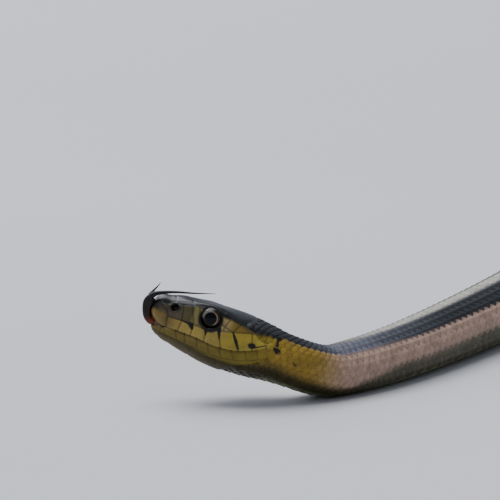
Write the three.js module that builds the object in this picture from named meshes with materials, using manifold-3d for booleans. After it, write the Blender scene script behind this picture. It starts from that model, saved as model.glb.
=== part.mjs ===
// A common garter snake at life size. It lies in loose bends on level ground with its head
// raised a little, and its forked tongue bends up and back over the snout.
// Millimetres, +Z up. The snout points to -X, and the left side of the head faces -Y.
import * as THREE from "three";
import { mergeVertices } from "three/addons/utils/BufferGeometryUtils.js";
import Module from "manifold-3d";

const wasm = await Module();
wasm.setup();

const DEG = Math.PI / 180;
const lerp = (a, b, t) => a + (b - a) * t;
const steps = (from, to, count) =>
  Array.from({ length: count + 1 }, (_, i) => lerp(from, to, i / count));

// Driving dimensions
const TOTAL_LENGTH = 620;
const TAIL_LENGTH = 142;
const HEAD_LENGTH = 22;
const BODY_WIDTH = 14;
const NECK_WIDTH = 8.8;
const TAIL_ROOT_WIDTH = 9.2;
const EYE_RADIUS = 1.6;
const NODE_GAP = 0.3;

// The head's pose: nose up, and rolled a little so that its left side is the higher one.
const SNOUT_HEIGHT = 14.2;
const HEAD_PITCH = 19 * DEG;
const HEAD_ROLL = -4 * DEG;

// Stations count along the body from the snout. The head's straight axis ends at the first
// one, and the neck lies on the ground from the second one on.
const AXIS_END = 18;
const NECK_DOWN = 31;
const VENT = TOTAL_LENGTH - TAIL_LENGTH;

// A smooth curve through values at given stations, which never swings past them.
function through(stations, values) {
  const last = stations.length - 1;
  const gaps = stations.slice(1).map((station, i) => station - stations[i]);
  const slopes = gaps.map((gap, i) => (values[i + 1] - values[i]) / gap);
  const tangents = stations.map((_, i) => {
    if (i === 0) return slopes[0];
    if (i === last) return slopes[last - 1];
    const [a, b] = [slopes[i - 1], slopes[i]];
    return a * b > 0 ? (2 * a * b) / (a + b) : 0;
  });
  return (x) => {
    if (x <= stations[0]) return values[0];
    if (x >= stations[last]) return values[last];
    const i = stations.findIndex((station) => station > x) - 1;
    const t = (x - stations[i]) / gaps[i];
    const [t2, t3] = [t * t, t * t * t];
    return (
      (2 * t3 - 3 * t2 + 1) * values[i] +
      (t3 - 2 * t2 + t) * gaps[i] * tangents[i] +
      (3 * t2 - 2 * t3) * values[i + 1] +
      (t3 - t2) * gaps[i] * tangents[i + 1]
    );
  };
}

// Girth of the neck, trunk and tail.
const HEIGHT_SHARE = 0.9;
const halfWidth = through(
  [NECK_DOWN, 60, 100, 170, 260, 350, 430, VENT, 515, 560, 600, TOTAL_LENGTH],
  [NECK_WIDTH / 2, 4.9, 5.6, 6.5, BODY_WIDTH / 2, 6.7, 5.7, TAIL_ROOT_WIDTH / 2, 3.4, 2.2, 1, 0.25],
);
const halfHeight = (s) => halfWidth(s) * HEIGHT_SHARE;

// Rails run lengthwise over the left half of the head and neck. From the crown down these are
// crown, brow, cheek, mouth, jaw and throat, each with its distance to the side and upwards.
const RAIL_STATIONS = [2, 4.4, 7.2, 9.9, 12.9, 15.9, 18.3, 21, 24, NECK_DOWN];
const rail = (values) => through(RAIL_STATIONS, values);
const crownHeight = rail([3.15, 3.8, 4.0, 4.12, 4.16, 4.0, 3.65, 3.35, 3.5, halfHeight(0)]);
const browWidth = rail([1.45, 2.35, 3.15, 3.75, 3.95, 4.1, 3.8, 3.2, 2.8, 2.8]);
const browHeight = rail([2.15, 2.8, 3.35, 3.5, 3.15, 3.0, 2.75, 2.6, 2.7, 3.0]);
const cheekWidth = rail([2.0, 2.75, 3.5, 4.25, 4.95, 5.25, 4.9, 4.35, 4.1, 4.1]);
const cheekHeight = rail([0.5, 0.8, 1.1, 1.1, 0.9, 1.0, 1.4, 1.5, 1.4, 1.2]);
const mouthWidth = rail([1.95, 2.9, 3.8, 4.6, 5.25, 5.55, 5.35, 4.75, 4.4, 4.35]);
const mouthHeight = rail([-1.55, -1.46, -1.53, -1.8, -1.6, -0.65, 0.45, 0.2, -0.3, -0.6]);
const jawWidth = rail([1.35, 2.45, 3.35, 4.05, 4.65, 4.95, 4.8, 4.3, 3.8, 3.0]);
const jawHeight = rail([-2.4, -3.1, -3.65, -4.0, -4.0, -3.6, -3.1, -3.0, -3.1, -3.2]);
const throatDepth = rail([3.0, 4.0, 4.65, 5.15, 5.35, 5.3, 5.1, 4.8, 4.5, halfHeight(0)]);
const MOUTH_RAIL = 3;
const THROAT_RAIL = 5;
const upwards = (s) => (s < NECK_DOWN ? crownHeight(s) : halfHeight(s));
const downwards = (s) => (s < NECK_DOWN ? throatDepth(s) : halfHeight(s));

// The head's section at station s and rail coordinate v, as distances to the left and up.
function headSection(s, v) {
  const half = [
    [0, upwards(s)],
    [browWidth(s), browHeight(s)],
    [cheekWidth(s), cheekHeight(s)],
    [mouthWidth(s), mouthHeight(s)],
    [jawWidth(s), jawHeight(s)],
    [0, -downwards(s)],
  ];
  const right = ([left, up]) => [-left, up];
  const ring = [right(half[1]), ...half, right(half[THROAT_RAIL - 1])];
  const i = Math.min(Math.floor(v), THROAT_RAIL - 1);
  const t = v - i;
  const weights = [
    -0.5 * t + t ** 2 - 0.5 * t ** 3,
    1 - 2.5 * t ** 2 + 1.5 * t ** 3,
    0.5 * t + 2 * t ** 2 - 1.5 * t ** 3,
    -0.5 * t ** 2 + 0.5 * t ** 3,
  ];
  return [0, 1].map((k) => weights.reduce((sum, w, j) => sum + w * ring[i + j][k], 0));
}

// The trunk's section is an oval, squarer below than above, with the rails at these angles.
const railAngle = through([0, 1, 2, 3, 4, THROAT_RAIL], [0, 40, 70, 98, 136, 180]);
const LOWER_POWER = 2.5;
function trunkSection(s, v) {
  const angle = railAngle(v) * DEG;
  const power = angle < Math.PI / 2 ? 2 : LOWER_POWER;
  const [sine, cosine] = [Math.max(Math.sin(angle), 0), Math.cos(angle)];
  const left = halfWidth(s) * sine ** (2 / power);
  const up = halfHeight(s) * Math.sign(cosine) * Math.abs(cosine) ** (2 / power);
  return [left, up];
}

const HEAD_FADE = [19, NECK_DOWN];
function section(s, v) {
  const t = Math.min(1, Math.max(0, (s - HEAD_FADE[0]) / (HEAD_FADE[1] - HEAD_FADE[0])));
  const trunk = t * t * (3 - 2 * t);
  const [head, body] = [headSection(s, v), trunkSection(s, v)];
  return [lerp(head[0], body[0], trunk), lerp(head[1], body[1], trunk)];
}

// The line through the middle of the body. Its heading swings from side to side along the
// trunk. Its height falls with the head's pitch, and behind the neck the belly's own flat,
// which takes a small share off the depth, is on the ground.
const BELLY_FLAT = 0.045;
const heading = through(
  [0, 18, 22, 26, 30, 36, 44, 56, 80, 105, 165, 232, 300, 366, 436, 500, 556, 590, TOTAL_LENGTH],
  [4, 5, 12, 31, 43, 52, 58, 63, 66, 69, 0, -98, 0, 98, 0, -84, -6, 34, 30],
);
const roll = through([AXIS_END, NECK_DOWN], [HEAD_ROLL, 0]);
function axisHeight(s) {
  const sink = Math.sin(HEAD_PITCH);
  if (s <= AXIS_END) return SNOUT_HEIGHT - s * sink;
  const rest = (station) => downwards(station) * (1 - BELLY_FLAT);
  if (s >= NECK_DOWN) return rest(s);
  const span = NECK_DOWN - AXIS_END;
  const t = (s - AXIS_END) / span;
  return (
    (2 * t ** 3 - 3 * t ** 2 + 1) * (SNOUT_HEIGHT - AXIS_END * sink) -
    (t ** 3 - 2 * t ** 2 + t) * span * sink +
    (3 * t ** 2 - 2 * t ** 3) * rest(NECK_DOWN)
  );
}

const PATH_STEP = 0.5;
function middleLine() {
  const line = [];
  const point = { x: 0, y: 0 };
  for (let s = 0; s <= TOTAL_LENGTH; s += PATH_STEP) {
    const rise = axisHeight(s + PATH_STEP / 2) - axisHeight(s - PATH_STEP / 2);
    const slope = Math.asin(rise / PATH_STEP);
    line.push({ ...point, z: axisHeight(s), turn: heading(s) * DEG, slope, tilt: roll(s) });
    const turn = heading(s + PATH_STEP / 2) * DEG;
    point.x += Math.cos(turn) * Math.cos(slope) * PATH_STEP;
    point.y += Math.sin(turn) * Math.cos(slope) * PATH_STEP;
  }
  return line;
}
const line = middleLine();

// A point beside the middle line: at station s, so far to the snake's left and up.
function place(s, left, up) {
  const i = Math.max(0, Math.min(Math.floor(s / PATH_STEP), line.length - 2));
  const t = s / PATH_STEP - i;
  const at = (key) => lerp(line[i][key], line[i + 1][key], t);
  const [turn, slope, tilt] = [at("turn"), at("slope"), at("tilt")];
  const y = left * Math.cos(tilt) + up * Math.sin(tilt);
  const z = up * Math.cos(tilt) - left * Math.sin(tilt);
  const along = -Math.sin(slope) * z;
  return new THREE.Vector3(
    at("x") + Math.cos(turn) * along + Math.sin(turn) * y,
    at("y") + Math.sin(turn) * along - Math.cos(turn) * y,
    at("z") + Math.cos(slope) * z,
  );
}

// A solid from points and faces; faces that close up to a point have no area and are left out.
function toSolid(geometry) {
  const { index, attributes } = mergeVertices(geometry, 1e-4);
  const kept = [];
  for (let i = 0; i < index.count; i += 3) {
    const [a, b, c] = index.array.slice(i, i + 3);
    if (a !== b && b !== c && a !== c) kept.push(a, b, c);
  }
  const vertProperties = attributes.position.array;
  const triVerts = new Uint32Array(kept);
  return new wasm.Manifold(new wasm.Mesh({ numProp: 3, vertProperties, triVerts }));
}

function toGeometry(solid) {
  const { vertProperties, triVerts } = solid.getMesh();
  const geometry = new THREE.BufferGeometry();
  geometry.setAttribute("position", new THREE.BufferAttribute(vertProperties, 3));
  geometry.setIndex(new THREE.BufferAttribute(triVerts, 1));
  return geometry;
}

// Cutting can leave scraps, so only the largest piece of a solid is kept.
const largest = (solid) =>
  solid.decompose().reduce((best, piece) => (piece.volume() > best.volume() ? piece : best));

// A solid through rings of points, closed at both ends by the middle of the end ring.
function loft(rings) {
  const count = rings[0].length;
  const at = (r, i) => r * count + (i % count);
  const faces = [];
  for (let r = 0; r + 1 < rings.length; r++)
    for (let i = 0; i < count; i++) {
      faces.push(at(r, i), at(r, i + 1), at(r + 1, i + 1));
      faces.push(at(r, i), at(r + 1, i + 1), at(r + 1, i));
    }
  const middleOf = (ring) =>
    ring.reduce((sum, p) => sum.addScaledVector(p, 1 / count), new THREE.Vector3());
  const points = [...rings.flat(), middleOf(rings[0]), middleOf(rings.at(-1))];
  const last = rings.length - 1;
  for (let i = 0; i < count; i++) {
    faces.push(at(0, i + 1), at(0, i), points.length - 2);
    faces.push(at(last, i), at(last, i + 1), points.length - 1);
  }
  return toSolid(new THREE.BufferGeometry().setFromPoints(points).setIndex(faces));
}

// A solid between an outer and an inner grid of points.
function slab(outer, inner, rows, columns) {
  const faces = [];
  const quad = (a, b, c, d) => faces.push(a, b, c, a, c, d);
  const at = (r, c) => r * columns + c;
  const under = (i) => i + outer.length;
  const rim = (a, b) => quad(a, b, under(b), under(a));
  for (let r = 0; r + 1 < rows; r++)
    for (let c = 0; c + 1 < columns; c++) {
      const cell = [at(r, c), at(r, c + 1), at(r + 1, c + 1), at(r + 1, c)];
      quad(...cell);
      quad(...cell.map(under).reverse());
    }
  for (let c = 0; c + 1 < columns; c++) {
    rim(at(0, c + 1), at(0, c));
    rim(at(rows - 1, c), at(rows - 1, c + 1));
  }
  for (let r = 0; r + 1 < rows; r++) {
    rim(at(r, 0), at(r + 1, 0));
    rim(at(r + 1, columns - 1), at(r, columns - 1));
  }
  const points = [...outer, ...inner];
  return toSolid(new THREE.BufferGeometry().setFromPoints(points).setIndex(faces));
}

// The snout and the chin end bluntly: their sections shrink towards a tip over a short reach.
// There a station counts how far the section has grown instead of the distance. The front of
// the snout leans forward: each millimetre upwards is a lean's length further to the front,
// and its lower part recedes to the mouth by the undercut.
const SNOUT = { start: 0, reach: 2.2, tip: 0.6, power: 2.3, lean: 0.12, undercut: 0.5 };
const CHIN = { start: 0.75, reach: 3.2, tip: -2.1, power: 1.6, lean: 0, undercut: 0 };
const LEAN_END = 4;

// A point of the head's surface above the mouth (half SNOUT) or below it (half CHIN). The
// rail coordinate v runs down the left side, and past crown or throat up the right side.
function headPoint(half, station, v) {
  const share = Math.min((station - half.start) / half.reach, 1);
  const run = 1 - (1 - share ** half.power) ** (1 / half.power);
  const s = share < 1 ? half.start + half.reach * run : station;
  const fade = Math.max(0, 1 - s / LEAN_END) ** 2;
  const side = v < 0 || v > THROAT_RAIL ? -1 : 1;
  const folded = v > THROAT_RAIL ? 2 * THROAT_RAIL - v : Math.abs(v);
  const [left, high] = section(Math.max(station, half.start + half.reach), folded);
  const up = half.tip + (high - half.tip) * share;
  const ahead = half.lean * up - half.undercut * Math.min(up, 0) ** 2;
  return place(s - ahead * fade, side * left * share, up);
}

function outward(half, station, v) {
  const d = 0.02;
  const near = Math.max(station, half.start + 3 * d);
  const along = headPoint(half, near + d, v).sub(headPoint(half, near - d, v));
  const around = headPoint(half, near, v + d).sub(headPoint(half, near, v - d));
  return around.cross(along).normalize();
}

// The head above the mouth, or the jaw below it. Their flat sides, the palate and the floor
// of the mouth, stay apart by the gap that is the line of the mouth between the lips.
function mouthHalf(half, rails, rings) {
  const lift = new THREE.Vector3(0, 0, half === SNOUT ? NODE_GAP / 2 : -NODE_GAP / 2);
  const end = half.start + half.reach;
  const stations = [...steps(half.start, end, 5), ...steps(end, HEAD_LENGTH, rings).slice(1)];
  const ring = (station) => {
    const points = rails.map((v) => headPoint(half, station, v));
    points[0].add(lift);
    points.at(-1).add(lift);
    return points;
  };
  return loft(stations.map(ring));
}
const HEAD_RINGS = 21;
const upperHead = () => mouthHalf(SNOUT, steps(-MOUTH_RAIL, MOUTH_RAIL, 24), HEAD_RINGS);
const lowerJaw = () =>
  mouthHalf(CHIN, steps(MOUTH_RAIL, 2 * THROAT_RAIL - MOUTH_RAIL, 16), HEAD_RINGS - 3);

// The head's shields are thin plates on its surface, rooted in it, with grooves between them.
const SHIELD_RISE = 0.2;
const SHIELD_ROOT = 0.6;
const SHIELD_CELL = 1.2;
const GROOVE = 0.13;

// A shield is drawn by lines across it from front to rear, each between two points that are
// a station and a rail coordinate.
function shield(half, lines, groove = GROOVE, cell = SHIELD_CELL) {
  const extent = (k) => {
    const values = lines.flat().map((corner) => corner[k]);
    return [Math.min(...values), Math.max(...values)];
  };
  const [[front, rear], [top, foot]] = [extent(0), extent(1)];
  const centre = [(front + rear) / 2, (top + foot) / 2];
  const width = headPoint(half, centre[0], top).distanceTo(headPoint(half, centre[0], foot));
  const shrink = [1 - (2 * groove) / (rear - front), 1 - (2 * groove) / width];
  const between = (a, b, t) => a.map((value, k) => lerp(value, b[k], t));
  const rows = [lines[0]];
  lines.slice(1).forEach((line, i) => {
    const count = Math.max(1, Math.round((line[0][0] - lines[i][0][0]) / cell));
    for (const t of steps(0, 1, count).slice(1))
      rows.push([0, 1].map((end) => between(lines[i][end], line[end], t)));
  });
  const across = steps(0, 1, Math.max(2, Math.round(width / cell)));
  const corners = rows.flatMap(([a, b]) => across.map((t) => between(a, b, t)));
  const grid = (rise) =>
    corners.map((corner) => {
      const inset = corner.map((value, k) => lerp(centre[k], value, shrink[k]));
      return headPoint(half, ...inset).addScaledVector(outward(half, ...inset), rise);
    });
  return slab(grid(SHIELD_RISE), grid(-SHIELD_ROOT), rows.length, across.length);
}

// The same shield on the right side, mirrored over the crown or over the throat.
const mirrored = (lines, over) =>
  lines.map((line) => line.map(([station, v]) => [station, 2 * over - v]).reverse());

// Shields on the midline. The rostral and the mental wrap the tips of snout and chin.
const UPPER_LIP = 2.9;
const LOWER_LIP = 3.1;
const TIP_EDGE = 0.02;
const TIP_CELL = 0.7;
const rostralReach = through([0, 0.5, 1.1, 1.5, 2, UPPER_LIP], [0.85, 0.95, 1.6, 2.05, 2.25, 2.35]);
const ROSTRAL = steps(UPPER_LIP, -UPPER_LIP, 10).map((v) => [
  [TIP_EDGE, v],
  [rostralReach(Math.abs(v)), v],
]);
const MENTAL_REACH = 3;
const MENTAL = steps(2 * THROAT_RAIL - LOWER_LIP, LOWER_LIP, 6).map((v) => [
  [CHIN.start + TIP_EDGE, v],
  [MENTAL_REACH, v],
]);
const FRONTAL = [
  [[5.25, -0.42], [5.25, 0.42]],
  [[8, -0.37], [8, 0.37]],
  [[9.7, -0.33], [9.7, 0.33]],
  [[10.7, -0.04], [10.7, 0.04]],
];

// Shields of the left side between crown, eye and upper lip.
const INTERNASAL = [[[1, 0], [1.75, 1.1]], [[2.95, 0], [3.05, 1.1]]];
const PREFRONTAL = [[[2.95, 0], [3.05, 1.1]], [[5.25, 0], [5.6, 1.1]]];
const SUPRAOCULAR = [[[5.3, 0.44], [5.7, 1.12]], [[8, 0.38], [8, 1.06]], [[10, 0.32], [10.3, 1.25]]];
const PARIETAL = [[[10.7, 0], [10.1, 1.22]], [[14, 0], [13.4, 1.22]], [[17, 0], [16, 0.75]]];
const NASAL = [[[2, 1.2], [2.45, 2.2]], [[4.15, 1.15], [4.6, 2.26]]];
const LOREAL = [[[4.15, 1.15], [4.6, 2.26]], [[5.4, 1.13], [6.4, 2.32]]];
const PREOCULAR = [[[5.4, 1.13], [6.4, 2.35]], [[6.45, 1.13], [7.1, 2.3]]];
const UPPER_POSTOCULAR = [[[10.3, 1.3], [10.35, 1.8]], [[11.45, 1.35], [10.9, 1.84]]];
const LOWER_POSTOCULAR = [[[10.4, 1.84], [10.15, 2.16]], [[10.95, 1.86], [10.75, 2.08]]];
const FRONT_TEMPORAL = [[[11.45, 1.3], [10.95, 1.9]], [[13.2, 1.3], [12.3, 1.94]]];
const REAR_TEMPORAL = [[[13.2, 1.3], [12.3, 1.94]], [[15.1, 1.28], [15.1, 1.6]]];

// Seven labials stand side by side on the upper lip and nine under the lower one, with two
// pairs of long chin shields between these.
const UPPER_LABIAL_TOPS = [
  [2.5, 2.23], [4.65, 2.3], [6.45, 2.33], [8.45, 2.4],
  [10.2, 2.2], [12.3, 1.96], [15.15, 1.62], [16.9, 1.6],
];
const UPPER_LABIAL_FEET = [2.5, 4.4, 6.4, 8.55, 11.25, 13.85, 15.85, 17.8];
const LOWER_LABIAL_TOPS = [3.1, 4.1, 5.5, 7.4, 9.2, 11, 12.9, 14.8, 16.4, 17.8];
const lowerLabialFoot = through([3, 6, 12, 18], [3.85, 3.7, 3.58, 3.5]);
const inPairs = (lines) => lines.slice(1).map((line, i) => [lines[i], line]);
const UPPER_LABIALS = inPairs(
  UPPER_LABIAL_TOPS.map((top, i) => [top, [UPPER_LABIAL_FEET[i], UPPER_LIP]]),
);
const LOWER_LABIALS = inPairs(
  LOWER_LABIAL_TOPS.map((s) => [[s, LOWER_LIP], [s, lowerLabialFoot(s)]]),
);
const CHIN_SHIELDS = [
  [[[3.15, 4], [3.15, THROAT_RAIL]], [[7, 3.8], [7.4, THROAT_RAIL]]],
  [[[7.1, 3.75], [7.5, THROAT_RAIL]], [[11.2, 3.85], [12, 4.7]]],
];
const LEFT_SHIELDS = [
  INTERNASAL, PREFRONTAL, SUPRAOCULAR, PARIETAL, NASAL, LOREAL, PREOCULAR,
  UPPER_POSTOCULAR, LOWER_POSTOCULAR, FRONT_TEMPORAL, REAR_TEMPORAL, ...UPPER_LABIALS,
];

// An oval ball whose short axis looks outwards from the head's surface.
function ovalBall(station, v, size, sunk) {
  const gaze = outward(SNOUT, station, v);
  const geometry = new THREE.SphereGeometry(1, 16, 10);
  geometry.deleteAttribute("normal");
  geometry.deleteAttribute("uv");
  geometry.scale(...size);
  geometry.applyQuaternion(new THREE.Quaternion().setFromUnitVectors(THREE.Object3D.DEFAULT_UP, gaze));
  geometry.translate(...headPoint(SNOUT, station, v).addScaledVector(gaze, -sunk));
  return toSolid(geometry);
}

// The eyes stand out of their sockets by half a millimetre; the nostrils are oval pits.
const EYE = { station: 8.55, rail: 1.63, depth: 1.25, sunk: 0.75 };
const NOSTRIL = { station: 3.05, rail: 1.4, size: [0.65, 0.9, 0.45] };
const eyeball = (side, room) => {
  const size = [EYE_RADIUS, EYE.depth, EYE_RADIUS].map((radius) => radius + room);
  return ovalBall(EYE.station, side * EYE.rail, size, EYE.sunk);
};
const nostril = (side) => ovalBall(NOSTRIL.station, side * NOSTRIL.rail, NOSTRIL.size, 0);

// The tongue leaves the mouth at the front, bends up and back, and forks over the snout. Its
// lines run through points beside the middle line: a station, to the left and up.
const TONGUE_SHAFT = [
  [1.9, 0, -1.5], [1.1, 0, -1.5], [0.35, 0, -1.46], [-0.25, 0.05, -0.95],
  [-0.62, 0.12, -0.05], [-0.78, 0.25, 0.8], [-0.76, 0.4, 1.45], [-0.7, 0.5, 2],
];
const LONG_TINE = [
  [-0.8, 0.5, 1.6], [-0.72, 0.75, 2.15], [-0.3, 1.05, 2.72], [0.8, 1.4, 3.32],
  [2.6, 1.75, 3.98], [5.2, 2, 4.68], [8.3, 2.1, 5.62],
];
const SHORT_TINE = [
  [-0.9, 0.45, 1.5], [-0.95, 0.25, 2.3], [-0.66, 0.1, 2.95], [-0.25, -0.05, 3.72], [0.05, -0.15, 4.5],
];
const SHAFT_HALF_WIDTH = 0.42;
const shaftHalfHeight = through([0, 0.3, 0.6, 0.85, 1], [0.5, 0.58, 0.74, 0.84, 0.66]);
const tineRadius = through([0, 0.15, 0.35, 0.85, 1], [0.48, 0.4, 0.28, 0.25, 0.1]);
const TONGUE_SIDES = 8;

function ribbon(points, halfHeightAt, halfWidthAt, count) {
  const curve = new THREE.CatmullRomCurve3(points.map((p) => place(...p)), false, "centripetal");
  const side = new THREE.Vector3(0, 1, 0);
  const ring = (t) => {
    const up = side.clone().cross(curve.getTangentAt(t)).normalize();
    return steps(0, 2 * Math.PI, TONGUE_SIDES).slice(1).map((angle) =>
      curve
        .getPointAt(t)
        .addScaledVector(up, halfHeightAt(t) * Math.cos(angle))
        .addScaledVector(side, halfWidthAt(t) * Math.sin(angle)),
    );
  };
  return loft(steps(0, 1, count).map(ring));
}

function tongue(room) {
  const shaftHeight = (t) => shaftHalfHeight(t) + room;
  const shaftWidth = () => SHAFT_HALF_WIDTH + room;
  const tine = (t) => tineRadius(t) + room;
  return ribbon(TONGUE_SHAFT, shaftHeight, shaftWidth, 12)
    .add(ribbon(LONG_TINE, tine, tine, 14))
    .add(ribbon(SHORT_TINE, tine, tine, 10));
}

function head() {
  let solid = upperHead().add(shield(SNOUT, ROSTRAL, 0, TIP_CELL)).add(shield(SNOUT, FRONTAL));
  for (const lines of LEFT_SHIELDS)
    solid = solid.add(shield(SNOUT, lines)).add(shield(SNOUT, mirrored(lines, 0)));
  for (const side of [1, -1])
    solid = solid.subtract(eyeball(side, NODE_GAP)).subtract(nostril(side));
  return largest(solid.subtract(tongue(NODE_GAP)));
}

function jaw() {
  let solid = lowerJaw().add(shield(CHIN, MENTAL, 0, TIP_CELL));
  for (const lines of [...LOWER_LABIALS, ...CHIN_SHIELDS])
    solid = solid.add(shield(CHIN, lines)).add(shield(CHIN, mirrored(lines, THROAT_RAIL)));
  return largest(solid.subtract(tongue(NODE_GAP)));
}

// A length of neck, trunk or tail. The broad scutes of the belly are steps in its surface:
// each one starts under the rear edge of the one before and comes down to the ground.
const FIRST_SCUTE = 25;
const SCUTE_PITCH = 8.3;
const SCUTE_STEP = 0.35;
const SCUTE_RAMP = 2.4;
const SCUTE_EDGE = 0.4;
const BELLY_EDGE = 4;
const TRUNK_RAILS = [0, 0.7, 1.4, 2.1, 2.8, 3.5, 4.15, 4.6, THROAT_RAIL];

function trunkRing(s, inset) {
  const point = (v, side) => {
    const [left, up] = section(s, v);
    if (v < BELLY_EDGE) return place(s, side * left, up);
    const shrink = 1 - inset / Math.hypot(left, up);
    const p = place(s, side * left * shrink, up * shrink);
    return p.setZ(Math.max(p.z, inset));
  };
  const rightRails = TRUNK_RAILS.slice(1, -1).reverse();
  return [...TRUNK_RAILS.map((v) => point(v, 1)), ...rightRails.map((v) => point(v, -1))];
}

function trunkLength(from, to) {
  const step = Math.min(SCUTE_STEP, halfWidth(to) / 5);
  const rings = [[from, 0]];
  for (let s = FIRST_SCUTE; s < to; s += SCUTE_PITCH)
    rings.push([s, step], [s + SCUTE_RAMP, 0], [s + SCUTE_PITCH - SCUTE_EDGE, 0]);
  rings.push([to, 0]);
  const clear = SCUTE_EDGE / 2;
  const inside = ([s]) => s === from || s === to || (s > from + clear && s < to - clear);
  return loft(rings.filter(inside).map(([s, inset]) => trunkRing(s, inset)));
}

const LOOKS = {
  crown: { color: 0x2d2f2c, roughness: 0.35 },
  chin: { color: 0xa39a6a, roughness: 0.4 },
  back: { color: 0x33373a, roughness: 0.45 },
  eye: { color: 0x0c0b0a, roughness: 0.08 },
  tongue: { color: 0x9c2413, roughness: 0.35 },
};

const snake = new THREE.Group();
function addNode(name, solid, look) {
  const mesh = new THREE.Mesh(toGeometry(solid), new THREE.MeshStandardMaterial(look));
  mesh.name = name;
  snake.add(mesh);
}

function addLengths(name, from, to, count) {
  const ends = steps(from, to, count);
  for (let i = 1; i <= count; i++)
    addNode(`${name}_${i}`, trunkLength(ends[i - 1] + NODE_GAP, ends[i]), LOOKS.back);
}

const NECK_END = 52;
addNode("head", head(), LOOKS.crown);
addNode("lower_jaw", jaw(), LOOKS.chin);
addNode("eye_left", eyeball(1, 0), LOOKS.eye);
addNode("eye_right", eyeball(-1, 0), LOOKS.eye);
addNode("tongue", largest(tongue(0)), LOOKS.tongue);
addNode("neck", trunkLength(HEAD_LENGTH + NODE_GAP, NECK_END), LOOKS.back);
addLengths("torso", NECK_END, VENT, 9);
addLengths("tail", VENT, TOTAL_LENGTH, 3);

// The origin is on the ground under the middle of the whole animal.
const middle = new THREE.Box3().setFromObject(snake).getCenter(new THREE.Vector3());
snake.position.set(-middle.x, -middle.y, 0);

export default snake;
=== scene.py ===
# A common garter snake at life size: skin, scales, eyes, tongue and their markings.
# Metres, +Z up, in the frame of the solids. The snout points to -X.
import math

import bpy
import numpy as np
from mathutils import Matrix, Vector, kdtree

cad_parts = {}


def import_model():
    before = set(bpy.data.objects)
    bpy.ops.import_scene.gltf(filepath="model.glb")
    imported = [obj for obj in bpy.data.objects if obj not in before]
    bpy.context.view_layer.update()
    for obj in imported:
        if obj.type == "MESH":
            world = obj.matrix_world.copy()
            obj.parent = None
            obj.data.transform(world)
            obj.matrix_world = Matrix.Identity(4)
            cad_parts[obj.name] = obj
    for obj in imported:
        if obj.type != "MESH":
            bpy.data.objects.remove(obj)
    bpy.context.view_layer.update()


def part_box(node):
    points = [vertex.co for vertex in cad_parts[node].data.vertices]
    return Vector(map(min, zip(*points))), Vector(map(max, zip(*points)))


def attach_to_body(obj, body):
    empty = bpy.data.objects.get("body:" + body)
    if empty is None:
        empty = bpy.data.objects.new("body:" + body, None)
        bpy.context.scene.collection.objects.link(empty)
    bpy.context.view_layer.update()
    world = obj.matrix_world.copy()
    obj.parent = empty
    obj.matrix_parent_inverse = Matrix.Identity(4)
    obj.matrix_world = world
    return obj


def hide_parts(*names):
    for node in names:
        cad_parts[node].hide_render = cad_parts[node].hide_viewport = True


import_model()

MM = 0.001
DEG = math.pi / 180

# Driving dimensions of the animal, as in the solids
TOTAL_LENGTH = 620 * MM
TAIL_LENGTH = 142 * MM
VENT = TOTAL_LENGTH - TAIL_LENGTH
EYE_RADIUS = 1.6 * MM

# The middle line is straight as far as AXIS_END, and the neck lies on the ground from NECK_DOWN.
HEAD_PITCH = 19 * DEG
HEAD_ROLL = -4 * DEG
SNOUT_HEIGHT = 14.2 * MM
AXIS_END = 18 * MM
NECK_DOWN = 31 * MM
PATH_STEP = 0.5 * MM

# The trunk's height over its width, and the share of its half height that the ground flattens
HEIGHT_SHARE = 0.9
BELLY_FLAT = 0.045

# Depths of skin and scales, and how far the lowest points stay above the ground
SCALE_DEPTH = 0.34 * MM
NAPE_DEPTH = 0.2 * MM
SCALE_EDGE = 0.1 * MM
FLOOR_GAP = 0.02 * MM
SKIN_FLOOR = 0.1 * MM

random = np.random.default_rng(7)


# Curves through named values

def ease(t):
    """0 up to 0 and 1 from 1 on, softly between."""
    t = np.clip(t, 0, 1)
    return t * t * (3 - 2 * t)


def step_up(x, edge, width):
    """0 before the edge and 1 after it, softly over the width."""
    return ease((x - edge) / width + 0.5)


def bump(x, centre, width):
    return np.exp(-(((x - centre) / width) ** 2))


def hermite(t, span, start, end, start_slope, end_slope=0.0):
    """A cubic over a span, of which t is the share passed, with its values and slopes at the ends."""
    return (
        (2 * t**3 - 3 * t**2 + 1) * start
        + (t**3 - 2 * t**2 + t) * span * start_slope
        + (3 * t**2 - 2 * t**3) * end
        + (t**3 - t**2) * span * end_slope
    )


def cubic(x, y, tangent, at):
    """Values at some places of the curve that has given values and slopes at its stations."""
    at = np.clip(at, x[0], x[-1])
    i = np.clip(np.searchsorted(x, at, side="right") - 1, 0, len(x) - 2)
    gap = x[i + 1] - x[i]
    return hermite((at - x[i]) / gap, gap, y[i], y[i + 1], tangent[i], tangent[i + 1])


def through(stations, values):
    """A smooth curve through values at given stations, which never swings past them."""
    x, y = np.array(stations, float), np.array(values, float)
    slope = np.diff(y) / np.diff(x)
    product = slope[:-1] * slope[1:]
    total = slope[:-1] + slope[1:]
    same_way = product > 0
    tangent = np.concatenate([slope[:1], 0 * product, slope[-1:]])
    tangent[1:-1][same_way] = 2 * product[same_way] / total[same_way]
    return lambda at: cubic(x, y, tangent, at)


def totals(steps):
    """Running totals from 0."""
    return np.concatenate([[0], np.cumsum(steps)])


def along_body(stations_mm, values, size=1.0):
    """A curve over stations in millimetres from the snout."""
    return through(MM * np.array(stations_mm), size * np.array(values))


half_width = along_body(
    [31, 60, 100, 170, 260, 350, 430, 478, 515, 560, 600, 620],
    [4.4, 4.9, 5.6, 6.5, 7, 6.7, 5.7, 4.6, 3.4, 2.2, 1, 0.25],
    MM,
)


def half_height(s):
    return half_width(s) * HEIGHT_SHARE


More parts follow.
